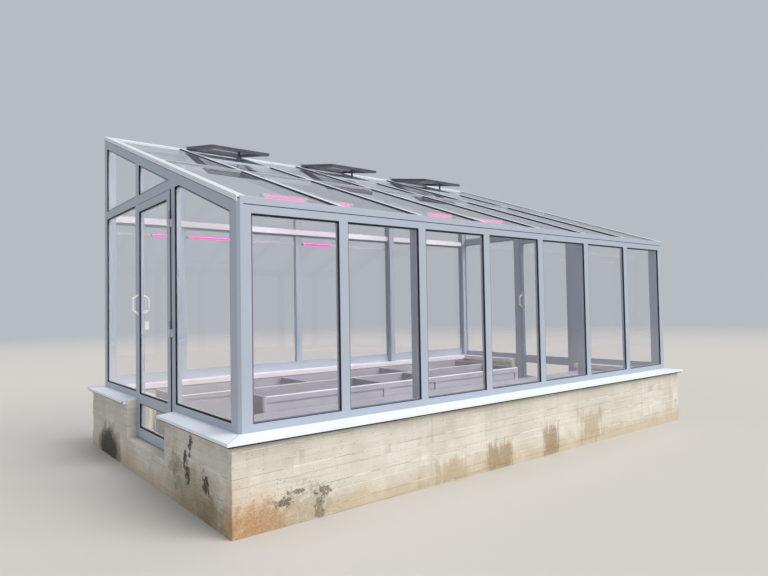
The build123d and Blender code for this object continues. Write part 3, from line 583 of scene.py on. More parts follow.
@dataclass(frozen=True)
class BoardMarkedConcrete(Finish):
    """Grey-beige concrete cast in sawn boards: each board left its own tone, grain and pores."""

    colour: str
    pale: str
    dark: str
    stains: tuple[Stain, ...]
    # Height of a board and of the first joint, how the joints climb along x, and from where
    board: float = 0.165
    board_start: float = 0.486
    climb: float = 0.0185
    near: float = -2.86
    # Real sizes of the patterns; the wood grain is drawn coarser than real, so that it shows
    cloud: float = 0.3226
    grit: float = 0.01818
    grain: float = 0.006
    pore: float = 0.035
    clod: float = 0.1429
    # How the grain is drawn out along the boards, and the drips down the wall
    along: float = 2.0
    drip: Triple = (26.0, 26.0, 1.5)
    # Width of a joint, counted in boards
    joint: float = 0.02
    # Joint line colours: dirt with painted shade in the open grooves, and fin paste with painted highlight
    # on the fins
    dirt: str = "6E6350"
    fin: str = "EFEADC"
    hole: str = "6E675A"
    splash: float = 0.3
    soil: str = "B59468"
    roughness: float = 0.88
    # Strength and depth of the grain, the grit and the pores
    relief: Pair = (0.55, 0.003)

    def surface(self, nodes: Shading) -> dict:
        """Draw board tones, wood grain, pores, drips, splashed soil and the listed stains.

        Args:
            nodes: The material's nodes.

        Returns:
            The inputs of the shader.
        """
        place = nodes.place
        x, _, z = nodes.add("SeparateXYZ", {"Vector": place}).outputs
        clouds = {"Vector": place, "Scale": 1 / self.cloud, "Detail": 8.0, "Roughness": 0.62}
        cloudy = nodes.faded(nodes.add("TexNoise", clouds), 0.3, 0.7)
        colour = nodes.blended(cloudy, linear(self.colour), self.pale)
        colour = self.boarded(nodes, self.level(nodes, x, z), colour)
        grits = {"Vector": place, "Scale": 1 / self.grit, "Detail": 6.0, "Roughness": 0.7}
        fine = nodes.add("TexNoise", grits)
        along = nodes.add("Mapping", {"Vector": place, "Scale": (self.along, self.along, 1 / self.grain)})
        grain = nodes.add("TexNoise", {"Vector": along, "Scale": 0.9, "Detail": 3.0})
        down = nodes.add("Mapping", {"Vector": place, "Scale": self.drip})
        drips = nodes.add("TexNoise", {"Vector": down, "Scale": 0.8, "Detail": 4.0})
        pores = nodes.add("TexVoronoi", {"Vector": place, "Scale": 1 / self.pore})
        pored = nodes.faded(pores, 0.11, 0.06)
        clods = nodes.add("TexNoise", {"Vector": place, "Scale": 1 / self.clod, "Detail": 6.0})
        height = nodes.add("Math", {0: clods, 1: -self.splash, 2: z}, operation="MULTIPLY_ADD")
        for mask, tint in (
            (nodes.faded(fine, 0.52, 0.75, 0.35), self.dark),
            (nodes.faded(grain, 0.48, 0.72, 0.22), self.dark),
            (nodes.faded(drips, 0.56, 0.8, 0.22), self.dark),
            (pored, self.hole),
            (nodes.faded(height, 0.06, -0.12, 0.42), self.soil),
        ):
            colour = nodes.blended(mask, colour, tint)
        for stain in self.stains:
            colour = stain.over(nodes, colour)
        rough = nodes.add("Math", {0: grain, 1: fine}, operation="ADD")
        pitted = nodes.add("Math", {0: rough, 1: pored}, operation="SUBTRACT")
        strength, depth = self.relief
        bump = nodes.add("Bump", {"Strength": strength, "Distance": depth, "Height": pitted})
        return {"Base Color": colour, "Roughness": self.roughness, "Normal": bump}

    def level(self, nodes: Shading, x: NodeSocket, z: NodeSocket) -> Node:
        """Measure the height in boards, which climb a little along the front.

        Args:
            nodes: The material's nodes.
            x: Place along the front.
            z: Height.

        Returns:
            The height, counted in boards.
        """
        climbed = nodes.add("Math", {0: x, 1: -self.climb, 2: z}, operation="MULTIPLY_ADD")
        first = self.board_start + self.climb * self.near
        level = nodes.add("Math", {0: climbed, 1: first}, operation="SUBTRACT")
        return nodes.add("Math", {0: level, 1: self.board}, operation="DIVIDE")

    def boarded(self, nodes: Shading, level: Node, colour: NodeSocket) -> NodeSocket:
        """Tone each board; draw dark lines in their open joints, dirt and painted shade of the grooves, and
        light lines on the fins, squeezed-out paste and painted highlight.

        Args:
            nodes: The material's nodes.
            level: Height, counted in boards.
            colour: The colour so far.

        Returns:
            The colour with the boards.
        """
        course = nodes.add("Math", {0: level}, operation="FLOOR")
        tone = nodes.add("TexWhiteNoise", {"W": course}, noise_dimensions="1D")
        toned = nodes.add("Math", {0: tone, 1: 0.18}, operation="MULTIPLY")
        colour = nodes.blended(toned, colour, self.dark)
        run = nodes.add("TexNoise", {"Vector": nodes.place, "Scale": 4.5, "Detail": 5.0})
        part = nodes.add("Math", {0: level}, operation="FRACT")
        # A dark line in each joint, dirt and painted groove shade, then a light line on the fin just above,
        # paste and painted highlight
        for start, tint, low, high in ((0.0, self.dirt, 0.46, 0.56), (self.joint, self.fin, 0.56, 0.44)):
            beyond = nodes.add("Math", {0: part, 1: start}, operation="SUBTRACT")
            near = nodes.add("Math", {0: beyond}, operation="ABSOLUTE")
            masks = {0: nodes.faded(near, self.joint, self.joint * 0.3), 1: nodes.faded(run, low, high)}
            share = nodes.add("Math", masks, operation="MULTIPLY")
            colour = nodes.blended(share, colour, tint)
        return colour


@dataclass(frozen=True)
class PlainFloor(Finish):
    """Plain pale paint that turns clear far away, so that the floor has no edge."""

    colour: str
    fade: Pair
    roughness: float = 0.9

    def surface(self, nodes: Shading) -> dict:
        """Give plain matt paint."""
        return {"Base Color": linear(self.colour), "Roughness": self.roughness}

    def output(self, nodes: Shading, shader: Node) -> Node:
        """Fade the paint out with the distance."""
        away = nodes.add("VectorMath", {0: nodes.place}, operation="LENGTH").outputs["Value"]
        mix = {0: nodes.faded(away, *self.fade), 1: shader, 2: nodes.add("BsdfTransparent")}
        return nodes.add("MixShader", mix)


# How much finer a running stain's edge is across than down
DRIPPING = (2.6, 2.6, 0.45)

CONCRETE_STAINS = (
    # Soil splashed up the near end of the front wall
    Stain("BF9564", (-2.84, -1.835, 0.06), (0.42, 0.2, 0.40), 0.55, 0.3, 5.0, 0.9),
    Stain("9F7340", (-2.78, -1.835, 0.00), (0.32, 0.2, 0.22), 0.55, 0.6, 14.0, 0.6),
    # Porous patch with dark, crumbled edges
    Stain("A39A86", (-2.42, -1.835, 0.10), (0.23, 0.1, 0.15), 0.55, 0.9, 22.0),
    Stain("554A3A", (-2.59, -1.835, 0.165), (0.06, 0.1, 0.035), 0.75, 0.9, 24.0),
    Stain("554A3A", (-2.48, -1.835, 0.215), (0.09, 0.1, 0.018), 0.7, 0.9, 28.0),
    Stain("5A503E", (-2.27, -1.835, 0.18), (0.07, 0.1, 0.03), 0.7, 1.0, 28.0),
    Stain("5A503E", (-2.31, -1.835, 0.07), (0.035, 0.1, 0.08), 0.6, 1.0, 28.0),
    # Damp panels further along the front wall
    Stain("AE9C7E", (-1.02, -1.835, 0.09), (0.24, 0.1, 0.12), 0.65, 0.5, 9.0, 0.6, True, DRIPPING),
    Stain("95805E", (-0.40, -1.835, 0.10), (0.20, 0.1, 0.16), 0.75, 0.5, 9.0, 0.6, True, DRIPPING),
    Stain("92795A", (0.354, -1.835, 0.13), (0.15, 0.1, 0.19), 0.75, 0.45, 9.0, 0.6, True, DRIPPING),
    Stain("AB9675", (1.04, -1.835, 0.18), (0.26, 0.1, 0.20), 0.6, 0.5, 8.0, 0.7, True, DRIPPING),
    # Wet arch at the foot of the rear block of the near gable
    Stain("6A5D48", (-2.96, 1.14, 0.05), (0.1, 0.46, 0.27), 0.7, 0.25, 7.0),
    Stain("3E352A", (-2.96, 1.16, 0.04), (0.1, 0.36, 0.23), 0.9, 0.22, 9.0),
    # Darker, warmer patches on the near gable, heavier towards the ground
    Stain("857858", (-2.96, -1.15, 0.12), (0.1, 0.80, 0.34), 0.6, 0.35, 6.0, 0.9),
    Stain("6F6347", (-2.96, -1.50, 0.04), (0.1, 0.36, 0.20), 0.5, 0.5, 10.0, 0.8),
    # Moss in the drips on the front block of the near gable
    Stain("3D362A", (-2.96, -1.125, 0.48), (0.1, 0.036, 0.10), 0.95, 0.8, 24.0),
    Stain("3D362A", (-2.96, -1.01, 0.36), (0.1, 0.045, 0.08), 0.95, 0.8, 22.0),
    Stain("3D362A", (-2.96, -1.07, 0.26), (0.1, 0.045, 0.09), 0.9, 0.8, 26.0),
    Stain("3F382C", (-2.96, -1.40, 0.27), (0.1, 0.06, 0.085), 0.95, 0.8, 20.0),
    Stain("6B6250", (-2.96, -0.80, 0.26), (0.1, 0.12, 0.14), 0.4, 1.0, 16.0),
)


class Palette:
    """Every finish of the greenhouse, made once."""

    def __init__(self) -> None:
        """Make the materials; one for a slot has the slot's name."""
        # Satin paint: blue-grey frame, near-white sills and caps, charcoal vents, pale fittings
        self.frame = PowderCoat("frame_powder_coat", "A8B2C2", "A2A4A6").make()
        self.sill = PowderCoat("sill_powder_coat", "E6EEF8", "D2D6DA", roughness=0.42).make()
        self.cap = PowderCoat("cap_powder_coat", "DDE2EA", "C5C6C8", roughness=0.34).make()
        self.vent = PowderCoat("vent_powder_coat", "4E525C", "6E6E6E", roughness=0.36).make()
        self.hinge = PowderCoat("hinge_powder_coat", "C6CDD9", "B0B2B6").make()
        self.handle = PowderCoat("handle_powder_coat", "E9E6DC", "CFCBBF", roughness=0.3).make()
        self.lamp = PowderCoat("lamp_housing_paint", "B9B9C0", "A9A9AD").make()
        # Even plastic: soft white and lilac-grey boards, dark openers, white box, grey sealant, and pale
        # strips that paint highlights on the beds' edges
        self.board = MouldedPlastic("white_foamed_board", "E8E3EB", "D3CDD6").make()
        self.bed = MouldedPlastic("lilac_grey_bed_board", "A8A8B4", "969392", roughness=0.48).make()
        self.opener = MouldedPlastic("dark_moulded_plastic", "3A3C42", "55565A").make()
        self.box = MouldedPlastic("white_moulded_plastic", "F1EEE7", "DCD8CF", roughness=0.35).make()
        self.sealant = MouldedPlastic("grey_silicone_sealant", "8E939B", "A7A9AC", roughness=0.5).make()
        self.edging = MouldedPlastic("pale_edging_strip", "F3F1F6", "E0DDE0", roughness=0.4).make()
        # Rough stained grey-beige concrete, then matt black, clear, glowing pink and bright steel
        concrete = ("board_marked_concrete", "CCC7BA", "DEDAD0", "928C7E")
        self.concrete = BoardMarkedConcrete(*concrete, CONCRETE_STAINS).make()
        self.rubber = RubberSeal().make()
        self.glass = FloatGlass().make()
        self.diffuser = LitDiffuser().make()
        self.steel = ScrewSteel().make()

    def dress(self) -> None:
        """Give every CAD node its finish by its slot."""
        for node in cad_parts.values():
            for place in node.material_slots:
                slot = Slot(place.material.name.split(".")[0])
                place.material = getattr(self, slot.name.lower())


# Sub-assemblies, in the order that they are built


@dataclass
class Part:
    """One sub-assembly: the house that it fits and the finishes that it takes."""

    house: House
    finish: Palette


@dataclass
class SoftEdges(Part):
    """The small rounding that extrusions, folded sheet and boards have along their edges."""

    # The CAD nodes where the eye would miss it
    nodes: tuple[str, ...] = (
        "inner_sills", "front_shelf", "front_bed", "rear_bed", "corner_posts", "portal_frames",
        "roof_edge_cap", "roof_caps", "service_rail", "switch_box", "near_door_leaf", "far_door_leaf",
    )
    width: float = 0.0015
    sharper_than: float = 30.0

    def build(self) -> None:
        """Round the edges of the nodes with live modifiers."""
        for name in self.nodes:
            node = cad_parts[name]
            weld = node.modifiers.new("weld", "WELD")
            weld.merge_threshold = FINE_WELD
            bevel = node.modifiers.new("soft_edge", "BEVEL")
            bevel.width = self.width
            bevel.segments = ROUND_STEPS
            bevel.limit_method = "ANGLE"
            bevel.angle_limit = math.radians(self.sharper_than)


@dataclass
class PlinthConcrete(Part):
    """The cast plinth with the marks of its boards: fins, grooves and boards out of line."""

    nodes: tuple[str, ...] = ("front_plinth", "rear_plinth", "gable_plinths", "door_thresholds")
    joints: tuple[float, ...] = (0.486, 0.321, 0.156, -0.009)
    climb: float = 0.0185
    joint_half: float = 0.003
    ragged: float = 0.012
    step: float = 0.003
    wave: float = 0.004
    station: float = 0.045
    corner: float = 0.004
    wall: float = 0.26
    seam: float = 0.001
    smooth_below: float = 3.0
    # How fast the lumps and the fins change along the wall, and how far apart two joints' fins are drawn
    lumps_per_metre: float = 2.3
    fins_per_metre: float = 5.0
    joints_apart: float = 7.0

    def joint_level(self, joint: float, x: float) -> float:
        """Give the height of a board joint at x: the boards climb a little along the front."""
        return joint + self.climb * (x - self.house.near)

    def relief(self, point: Vector) -> float:
        """Give how far the cast face stands out at a point.

        Args:
            point: The point on the smooth face.

        Returns:
            The distance, negative for inwards.
        """
        lump = noise.noise(point * self.lumps_per_metre) * self.wave / 2
        board = 0
        for number, joint in enumerate(self.joints):
            away = point.z - self.joint_level(joint, point.x)
            if abs(away) < self.joint_half / 2:
                along = point * self.fins_per_metre
                place = Vector((along.x, along.y, number * self.joints_apart))
                return lump + noise.noise(place) * self.ragged
            if away < 0:
                board += 1
        return lump + self.step * (board % 2)

    def corners(self, mesh: BMesh, half: Vector) -> list[BMEdge]:
        """Find the upright outer edges that stand free of the next block.

        Args:
            mesh: The block's mesh.
            half: Half of the plinth's plan.

        Returns:
            The edges.
        """
        found = []
        for edge in mesh.edges:
            first, second = edge.verts[0].co, edge.verts[1].co
            upright = abs((first - second).normalized().z) > ALMOST_ALONG
            outside = half.x - abs(first.x) < WELD
            free = abs(abs(first.y) - (half.y - self.wall)) >= self.seam
            if upright and outside and free:
                found.append(edge)
        return found

    def cuts(self, low: Vector, high: Vector) -> list[tuple[Vector, Vector]]:
        """Plan the cuts of a block: at even steps along its sides, then at its board joints.

        Args:
            low: The block's lowest corner.
            high: Its highest corner.

        Returns:
            A point and a normal for each cut.
        """
        found = []
        for axis in (ACROSS, BACK):
            start, end = low.dot(axis), high.dot(axis)
            count = max(2, round((end - start) / self.station))
            found += [(axis * (start + (end - start) * step / count), axis) for step in range(1, count)]
        climbing = Vector((-self.climb, 0.0, 1.0)).normalized()
        for joint in self.joints:
            for offset in (-self.joint_half, 0.0, self.joint_half):
                found.append((UP * (self.joint_level(joint, 0.0) + offset), climbing))
        return found

    def build(self) -> None:
        """Round the corners of every block, cut it along its board joints and press the marks in."""
        low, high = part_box("front_plinth")
        half = Vector((high[0], -low[1], high[2]))
        for name in self.nodes:
            mesh = welded(name)
            rounded(mesh, self.corners(mesh, half), self.corner)
            for point, normal in self.cuts(*extent(mesh.faces)):
                geometry = [*mesh.verts, *mesh.edges, *mesh.faces]
                bmesh.ops.bisect_plane(mesh, geom=geometry, dist=FINE_WELD, plane_co=point, plane_no=normal)
            for vert in mesh.verts:
                shift = self.relief(vert.co)
                for axis in (0, 1):
                    if half[axis] - abs(vert.co[axis]) < self.corner + WELD:
                        vert.co[axis] += math.copysign(shift, vert.co[axis])
            concrete = self.finish.concrete
            piece = finished(f"{name}_cast", mesh, concrete, Body.HOUSE, self.smooth_below)
            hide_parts(name)


@dataclass
class PaneSeals(Part):
    """Black rubber outside and a snap-in bead inside, round every pane of a node."""

    seal_width: float = 0.004
    seal_height: float = 0.0085
    bead_width: float = 0.014
    bead_height: float = 0.020
    bead_round: float = 0.003

    def ring(self, mesh: BMesh, face: BMFace, width: float, height: float, round_by: float = 0.0) -> None:
        """Add a closed frame that stands on a pane's face, along its edge.

        Args:
            mesh: The mesh to add to.
            face: The pane's face.
            width: How far the frame reaches in over the pane.
            height: How far it stands off the pane.
            round_by: Rounding of its edges.
        """
        sheet = mesh.faces.new([mesh.verts.new(vert.co) for vert in face.verts])
        sheet.normal_update()
        inset = bmesh.ops.inset_region(
            mesh, faces=[sheet], thickness=width, use_boundary=True, use_even_offset=True
        )
        bmesh.ops.delete(mesh, geom=[sheet], context="FACES_ONLY")
        raised = bmesh.ops.extrude_face_region(mesh, geom=inset["faces"], use_keep_orig=True)["geom"]
        verts = [item for item in raised if isinstance(item, BMVert)]
        bmesh.ops.translate(mesh, vec=face.normal * height, verts=verts)
        if round_by:
            top = set(verts)
            edges = [edge for edge in edges_at(verts) if top.issuperset(edge.verts)]
            rounded(mesh, [edge for edge in edges if len(edge.link_faces) == 2], round_by)

    def build(self) -> None:
        """Seal every wall pane, door pane and vent pane, on its outer and its inner side."""
        rubber, paint = self.finish.rubber, self.finish.frame
        # The glass node, the way that its panes look, the pieces' names, the body and the beads' finish
        for node_name, outward, label, body, bead_finish in (
            ("front_glass", -BACK, "front_glass", Body.HOUSE, paint),
            ("rear_glass", BACK, "rear_glass", Body.HOUSE, paint),
            ("gable_glass", -ACROSS, "near_gable_glass", Body.HOUSE, paint),
            ("gable_glass", ACROSS, "far_gable_glass", Body.HOUSE, paint),
            ("near_door_glass", -ACROSS, "near_door_glass", Body.NEAR_DOOR, paint),
            ("far_door_glass", ACROSS, "far_door_glass", Body.FAR_DOOR, paint),
            ("vent_glass", UP, "vent_glass", Body.HOUSE, self.finish.vent),
        ):
            panes = welded(node_name)
            seals, beads = bmesh.new(), bmesh.new()
            for face in panes.faces:
                along = face.normal.dot(outward)
                if face.calc_center_median().dot(outward) <= 0:
                    continue
                if along > ALMOST_ALONG:
                    self.ring(seals, face, self.seal_width, self.seal_height)
                elif along < -ALMOST_ALONG:
                    self.ring(beads, face, self.bead_width, self.bead_height, self.bead_round)
            panes.free()
            finished(f"{label}_seals", seals, rubber, body)
            finished(f"{label}_beads", beads, bead_finish, body)


@dataclass
class EavesLine(Part):
    """The black gasket in the joint under the eaves profile, along the front of the house, which also paints
    the groove's shadow.
    """

    drop: float = 0.054
    half: float = 0.003
    inset: float = 0.045
    proud: float = 0.0008

    def build(self) -> None:
        """Lay the black strip, gasket and painted groove shadow, across the front, over both corner posts.
        """
        house = self.house
        mesh = bmesh.new()
        level = house.roof_foot - self.drop
        start = (house.near + self.inset, house.front - self.proud, level - self.half)
        end = (house.far - self.inset, house.front + self.proud, level + self.half)
        # Black rubber strip: a real gasket, and it also stands in for the shadow in the groove
        add_box(mesh, start, end, self.proud / 2)
        finished("eaves_joint_seal", mesh, self.finish.rubber, Body.HOUSE)


@dataclass
class RoofSeals(Part):
    """Black rubber along the verges and the roof caps, and sealant along the cross joint's cap; the verge
    strips paint the shadow under each verge skirt.
    """

    skirt: float = 0.04
    verge_show: float = 0.005
    verge_proud: float = 0.003
    verge_start: float = 0.06
    cap_half: float = 0.025
    show: float = 0.0035
    top: float = 0.004
    bottom: float = 0.012
    joint_y: float = 0.0
    lap: float = 0.013
    lap_rise: float = 0.0003
    side_inset: float = 0.07

    def tipped(self, name: str, boxes: Iterable[tuple], finish: Material) -> None:
        """Make a piece of level boxes that are tipped up along the roof.

        Args:
            name: The piece's name.
            boxes: Two opposite corners of each box.
            finish: Its material.
        """
        mesh = bmesh.new()
        for start, end in boxes:
            add_box(mesh, start, end)
        for vert in mesh.verts:
            vert.co.z += self.house.slope * (vert.co.y - self.house.front)
        finished(name, mesh, finish, Body.HOUSE)

    def build(self) -> None:
        """Lay the verge strips that paint the skirts' shadow, the seals of every cap and the sealant of the
        cross joint, bay by bay.
        """
        house = self.house
        level = house.roof_foot - self.skirt
        # Black strip at the foot of each verge skirt: painted shadow of the skirt's lower edge
        verges = [
            (
                (x - self.verge_proud, house.front + self.verge_start, level - self.verge_show),
                (x + self.verge_proud, house.rear - self.verge_start, level + self.verge_show),
            )
            for x in (house.near, house.far)
        ]
        self.tipped("verge_seals", verges, self.finish.rubber)
        foot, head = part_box("roof_caps")
        edge = self.cap_half + self.show
        low, high = house.roof_foot - self.bottom, house.roof_foot - self.top
        caps = [
            ((x + side * self.cap_half, foot[1], low), (x + side * edge, head[1], high))
            for x in house.mullions
            for side in (-1, 1)
        ]
        self.tipped("roof_cap_seals", caps, self.finish.rubber)
        inner, high = self.cap_half - self.lap, house.roof_foot + self.lap_rise
        lines = (house.near + self.side_inset, *house.mullions, house.far - self.side_inset)
        bays = [
            (
                (before + self.cap_half, self.joint_y + side * inner, low),
                (after - self.cap_half, self.joint_y + side * edge, high),
            )
            for before, after in zip(lines, lines[1:])
            for side in (-1, 1)
        ]
        self.tipped("roof_joint_sealant", bays, self.finish.sealant)


@dataclass
class SillSealant(Part):
    """Sealant in the mitres of the sills and along the foot of the frame."""

    sill_out: float = 0.15
    sill_drop: float = 0.015
    mitre: float = 0.0016
    mitre_sides: int = 8
    bead: float = 0.003
    bead_sides: int = 10
    short: float = 0.006

    def build(self) -> None:
        """Run a thin line down each mitre and a bead along the front and rear rails."""
        house = self.house
        mitres, beads = bmesh.new(), bmesh.new()
        reach = self.sill_out - self.short
        low = house.sill - self.sill_drop * reach / self.sill_out
        for _, x, across, _ in house.gables():
            for y, along in house.walls():
                end = (x + across * reach, y + along * reach, low)
                add_rod(mitres, (x, y, house.sill), end, self.mitre, self.mitre_sides)
        for y, _ in house.walls():
            start, end = ((x, y, house.sill) for x in (house.near + self.short, house.far - self.short))
            add_rod(beads, start, end, self.bead, self.bead_sides)
        finished("sill_mitre_sealant", mitres, self.finish.sealant, Body.HOUSE)
        finished("frame_foot_sealant", beads, self.finish.frame, Body.HOUSE)


@dataclass
class SillTapeAndPaintedShadow(Part):
    """Black sealing tape between the sills' lips and the rough concrete, which also paints the shadow that
    the lips throw on the concrete.
    """

    inner: float = 0.094
    outer: float = 0.136
    top: float = 0.016
    foot: float = 0.050
    round_by: float = 0.002
    sill_ends: Pair = (-0.5225, 0.5225)
    cap: float = 0.004
    cap_round: float = 0.001

    def build(self) -> None:
        """Press a black strip under each sill as tape and painted shadow below its lip, and close it with a
        cap at each doorway.
        """
        house = self.house
        mesh, caps = bmesh.new(), bmesh.new()
        # The black strip reaches down below the lip, where it shows as painted shadow on the concrete
        low, high = house.sill - self.foot, house.sill - self.top
        for face, out in house.walls():
            start = (house.near - self.outer, face + out * self.inner, low)
            add_box(mesh, start, (house.far + self.outer, face + out * self.outer, high), self.round_by)
        front_end, rear_end = self.sill_ends
        front_cap, rear_cap = front_end - self.cap, rear_end + self.cap
        for _, face, out, _ in house.gables():
            inner, outer = face + out * self.inner, face + out * self.outer
            for start, end in ((house.front - self.inner, front_cap), (rear_cap, house.rear + self.inner)):
                add_box(mesh, (inner, start, low), (outer, end, high), self.round_by)
            for start, end in ((front_cap, front_end), (rear_end, rear_cap)):
                add_box(caps, (inner, start, low), (outer, end, high), self.cap_round)
        finished("sill_sealing_tape", mesh, self.finish.rubber, Body.HOUSE)
        finished("sill_end_caps", caps, self.finish.sill, Body.HOUSE)


@dataclass
class DoorSeals(Part):
    """Black rubber round a doorway, in the gap that the leaf leaves."""

    doorway: Pair = (-0.4425, 0.5125)
    foot: float = 0.275
    head: float = 2.49
    leaf: Triple = (-0.4345, 0.280, 2.482)
    width: float = 0.004
    leaf_shown: float = -0.007
    shown: float = 0.002
    depth: float = 0.036
    stop_face: float = 0.045
    stop_lip: float = 0.003
    stop_width: float = 0.012
    round_by: float = 0.0008

    def build(self) -> None:
        """Line the leaves' hinge sides, both doorways and the stops behind the leaves."""
        left, right = self.doorway
        foot, head = self.foot, self.head
        leaf_y, leaf_foot, leaf_head = self.leaf
        on_leaf = (self.leaf_shown, self.depth)
        in_gap = (self.shown, self.depth)
        on_stop = (self.stop_face - self.stop_lip, self.stop_face)
        stop = self.stop_width
        # How far in each strip starts and ends, its first corner in y and z, and its last
        leaf_strips = ((on_leaf, (leaf_y - self.width, leaf_foot), (leaf_y, leaf_head)),)
        doorway_strips = (
            (in_gap, (right - self.width, foot), (right, head)),
            (in_gap, (left, head - self.width), (right, head)),
            (on_stop, (left, foot), (left + stop, head)),
            (on_stop, (right - stop, foot), (right, head)),
            (on_stop, (left, head - stop), (right, head)),
        )
        for name, gable, out, door in self.house.gables():
            for label, strips, body in (
                ("leaf_edge_seal", leaf_strips, door),
                ("doorway_seals", doorway_strips, Body.HOUSE),
            ):
                mesh = bmesh.new()
                for (start, end), low, high in strips:
                    add_box(mesh, (gable - out * start, *low), (gable - out * end, *high), self.round_by)
                finished(f"{name}_{label}", mesh, self.finish.rubber, body)


@dataclass
class HingeFittings(Part):
    """Pin heads and screws of the door hinges."""

    pin: Pair = (0.020, -0.4395)
    centres: tuple[float, ...] = (0.46, 1.312, 2.232)
    barrel: float = 0.13
    head: float = 0.005
    head_radius: float = 0.0072
    head_round: float = 0.003
    plate_out: float = 0.012
    head_sides: int = 20
    screw_radius: float = 0.0042
    screw_sides: int = 16
    screw_head: float = 0.0016
    screw_sunk: float = 0.001
    screw_across: float = 0.028
    screw_up: tuple[float, ...] = (0.014, 0.05)

    def half(self, mesh: BMesh, gable: float, out: int, side: int) -> None:
        """Add the pin heads and screws of one half of every hinge.

        Args:
            mesh: The mesh to add to.
            gable: The gable's outer face.
            out: Which way is outwards along x.
            side: 1 for the upper half, on the leaf, and -1 for the lower one, on the post.
        """
        pin_x, pin_y = gable + out * self.pin[0], self.pin[1]
        face = gable + out * self.plate_out
        y = pin_y + side * self.screw_across
        for centre in self.centres:
            foot = centre + side * self.barrel / 2
            top = foot + side * self.head
            start, end = (pin_x, pin_y, foot), (pin_x, pin_y, top)
            verts = add_rod(mesh, start, end, self.head_radius, self.head_sides)
            rim = [edge for edge in edges_at(verts) if all(abs(end.co.z - top) < WELD for end in edge.verts)]
            rounded(mesh, rim, self.head_round)
            for rise in self.screw_up:
                z = centre + side * rise
                start, end = (face - out * self.screw_sunk, y, z), (face + out * self.screw_head, y, z)
                add_rod(mesh, start, end, self.screw_radius, self.screw_sides)

    def build(self) -> None:
        """Fit the upper halves to the leaves and the lower halves to the posts."""
        for name, gable, out, door in self.house.gables():
            for label, side, body in (("door", 1, door), ("post", -1, Body.HOUSE)):
                mesh = bmesh.new()
                self.half(mesh, gable, out, side)
                finished(f"{name}_{label}_hinge_screws", mesh, self.finish.steel, body)


@dataclass
class BedHighlightStrips(Part):
    """Pale strips along the rims and base rails of the planting beds, which paint the highlights of those
    edges.
    """

    rim: float = 0.010
    proud: float = 0.004
    round_by: float = 0.0032
    base_rail: float = 0.09
    corner: float = 0.026

    def build(self) -> None:
        """Lay a rounded pale strip along both long sides of each bed, at the rim and the base rail, as
        painted highlight.
        """
        for name in ("front_bed", "rear_bed"):
            mesh = bmesh.new()
            low, high = (Vector(corner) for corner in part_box(name))
            for y in (low.y, high.y):
                for top in (high.z, low.z + self.base_rail):
                    # Pale strip at each rim and base-rail edge: painted highlight
                    start = (low.x + self.corner, y - self.proud, top - self.rim)
                    end = (high.x - self.corner, y + self.proud, top + WELD)
                    add_box(mesh, start, end, self.round_by)
            finished(f"{name}_edging", mesh, self.finish.edging, Body.HOUSE)


@dataclass
class SwitchRocker(Part):
    """The rocker and its frame on the small box."""

    margin: float = 0.0035
    lift: float = 0.002
    plate_round: float = 0.0012
    rocker: Pair = (0.022, 0.044)
    rocker_round: float = 0.001
    travel: float = 0.003

    def build(self) -> None:
        """Set a raised plate and a tilted rocker on the box's inner face."""
        low, high = (Vector(corner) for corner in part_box("switch_box"))
        middle = (low + high) / 2
        wide, tall = self.rocker
        face = high.x + self.lift
        mesh = bmesh.new()
        start = (high.x - WELD, low.y + self.margin, low.z + self.margin)
        add_box(mesh, start, (face, high.y - self.margin, high.z - self.margin), self.plate_round)
        start = (face - WELD, middle.y - wide / 2, middle.z - tall / 2)
        end = (face + self.travel, middle.y + wide / 2, middle.z + tall / 2)
        for vert in add_box(mesh, start, end, self.rocker_round):
            if vert.co.x > face:
                vert.co.x -= self.travel / 2 * (vert.co.z - start[2]) / tall
        finished("switch_rocker", mesh, self.finish.box, Body.HOUSE)


@dataclass
class VentHinges(Part):
    """The knuckles that the roof vents hang on."""

    radius: float = 0.009
    sides: int = 14
    length: float = 0.07
    lift: float = 0.010
    from_end: float = 0.12

    def build(self) -> None:
        """Set two knuckles on the upper edge of each vent."""
        mesh = bmesh.new()
        for low, high in solid_boxes("vent_frames"):
            for x in (low.x + self.from_end, high.x - self.from_end):
                z = high.z - self.lift
                start, end = (x - self.length / 2, high.y, z), (x + self.length / 2, high.y, z)
                add_rod(mesh, start, end, self.radius, self.sides)
        finished("vent_hinge_knuckles", mesh, self.finish.vent, Body.HOUSE)


@dataclass
class GrowLightDiffusers(Part):
    """Glowing covers over the lamps, with moulded caps on their ends."""

    cap_proud: float = 0.0035
    cap_gap: float = 0.001
    cap_share: float = 0.6
    end_cap: float = 0.02
    proud: float = 0.002
    edge: float = 0.009
    depth: float = 0.03
    cover_share: float = 0.5

    def build(self) -> None:
        """Wrap a rounded cover round the body of each lamp and close its ends."""
        mesh, caps = bmesh.new(), bmesh.new()
        lamps = welded("grow_lights")
        for group in islands(lamps):
            fronts = [face for face in group if face.normal.dot(-BACK) > ALMOST_ALONG]
            low, high = extent([min(fronts, key=lambda face: face.calc_center_median().y)])
            depth = min(self.depth, extent(group)[1].y - low.y)
            start = (low.x + self.end_cap, low.y - self.proud, low.z - self.proud)
            end = (high.x - self.end_cap, low.y + depth * self.cover_share, high.z - self.proud)
            add_box(mesh, start, end, min(self.edge, (high.z - low.z) / 3))
            for x, along in ((low.x, 1), (high.x, -1)):
                start = (x - along * self.cap_proud, low.y - self.cap_proud, low.z - self.cap_proud)
                inner = x + along * (self.end_cap - self.cap_gap)
                end = (inner, low.y + depth * self.cap_share, high.z + self.cap_proud)
                add_box(caps, start, end, self.cap_proud)
        lamps.free()
        finished("grow_light_end_caps", caps, self.finish.lamp, Body.HOUSE)
        finished("grow_light_diffusers", mesh, self.finish.diffuser, Body.HOUSE)


# Studio


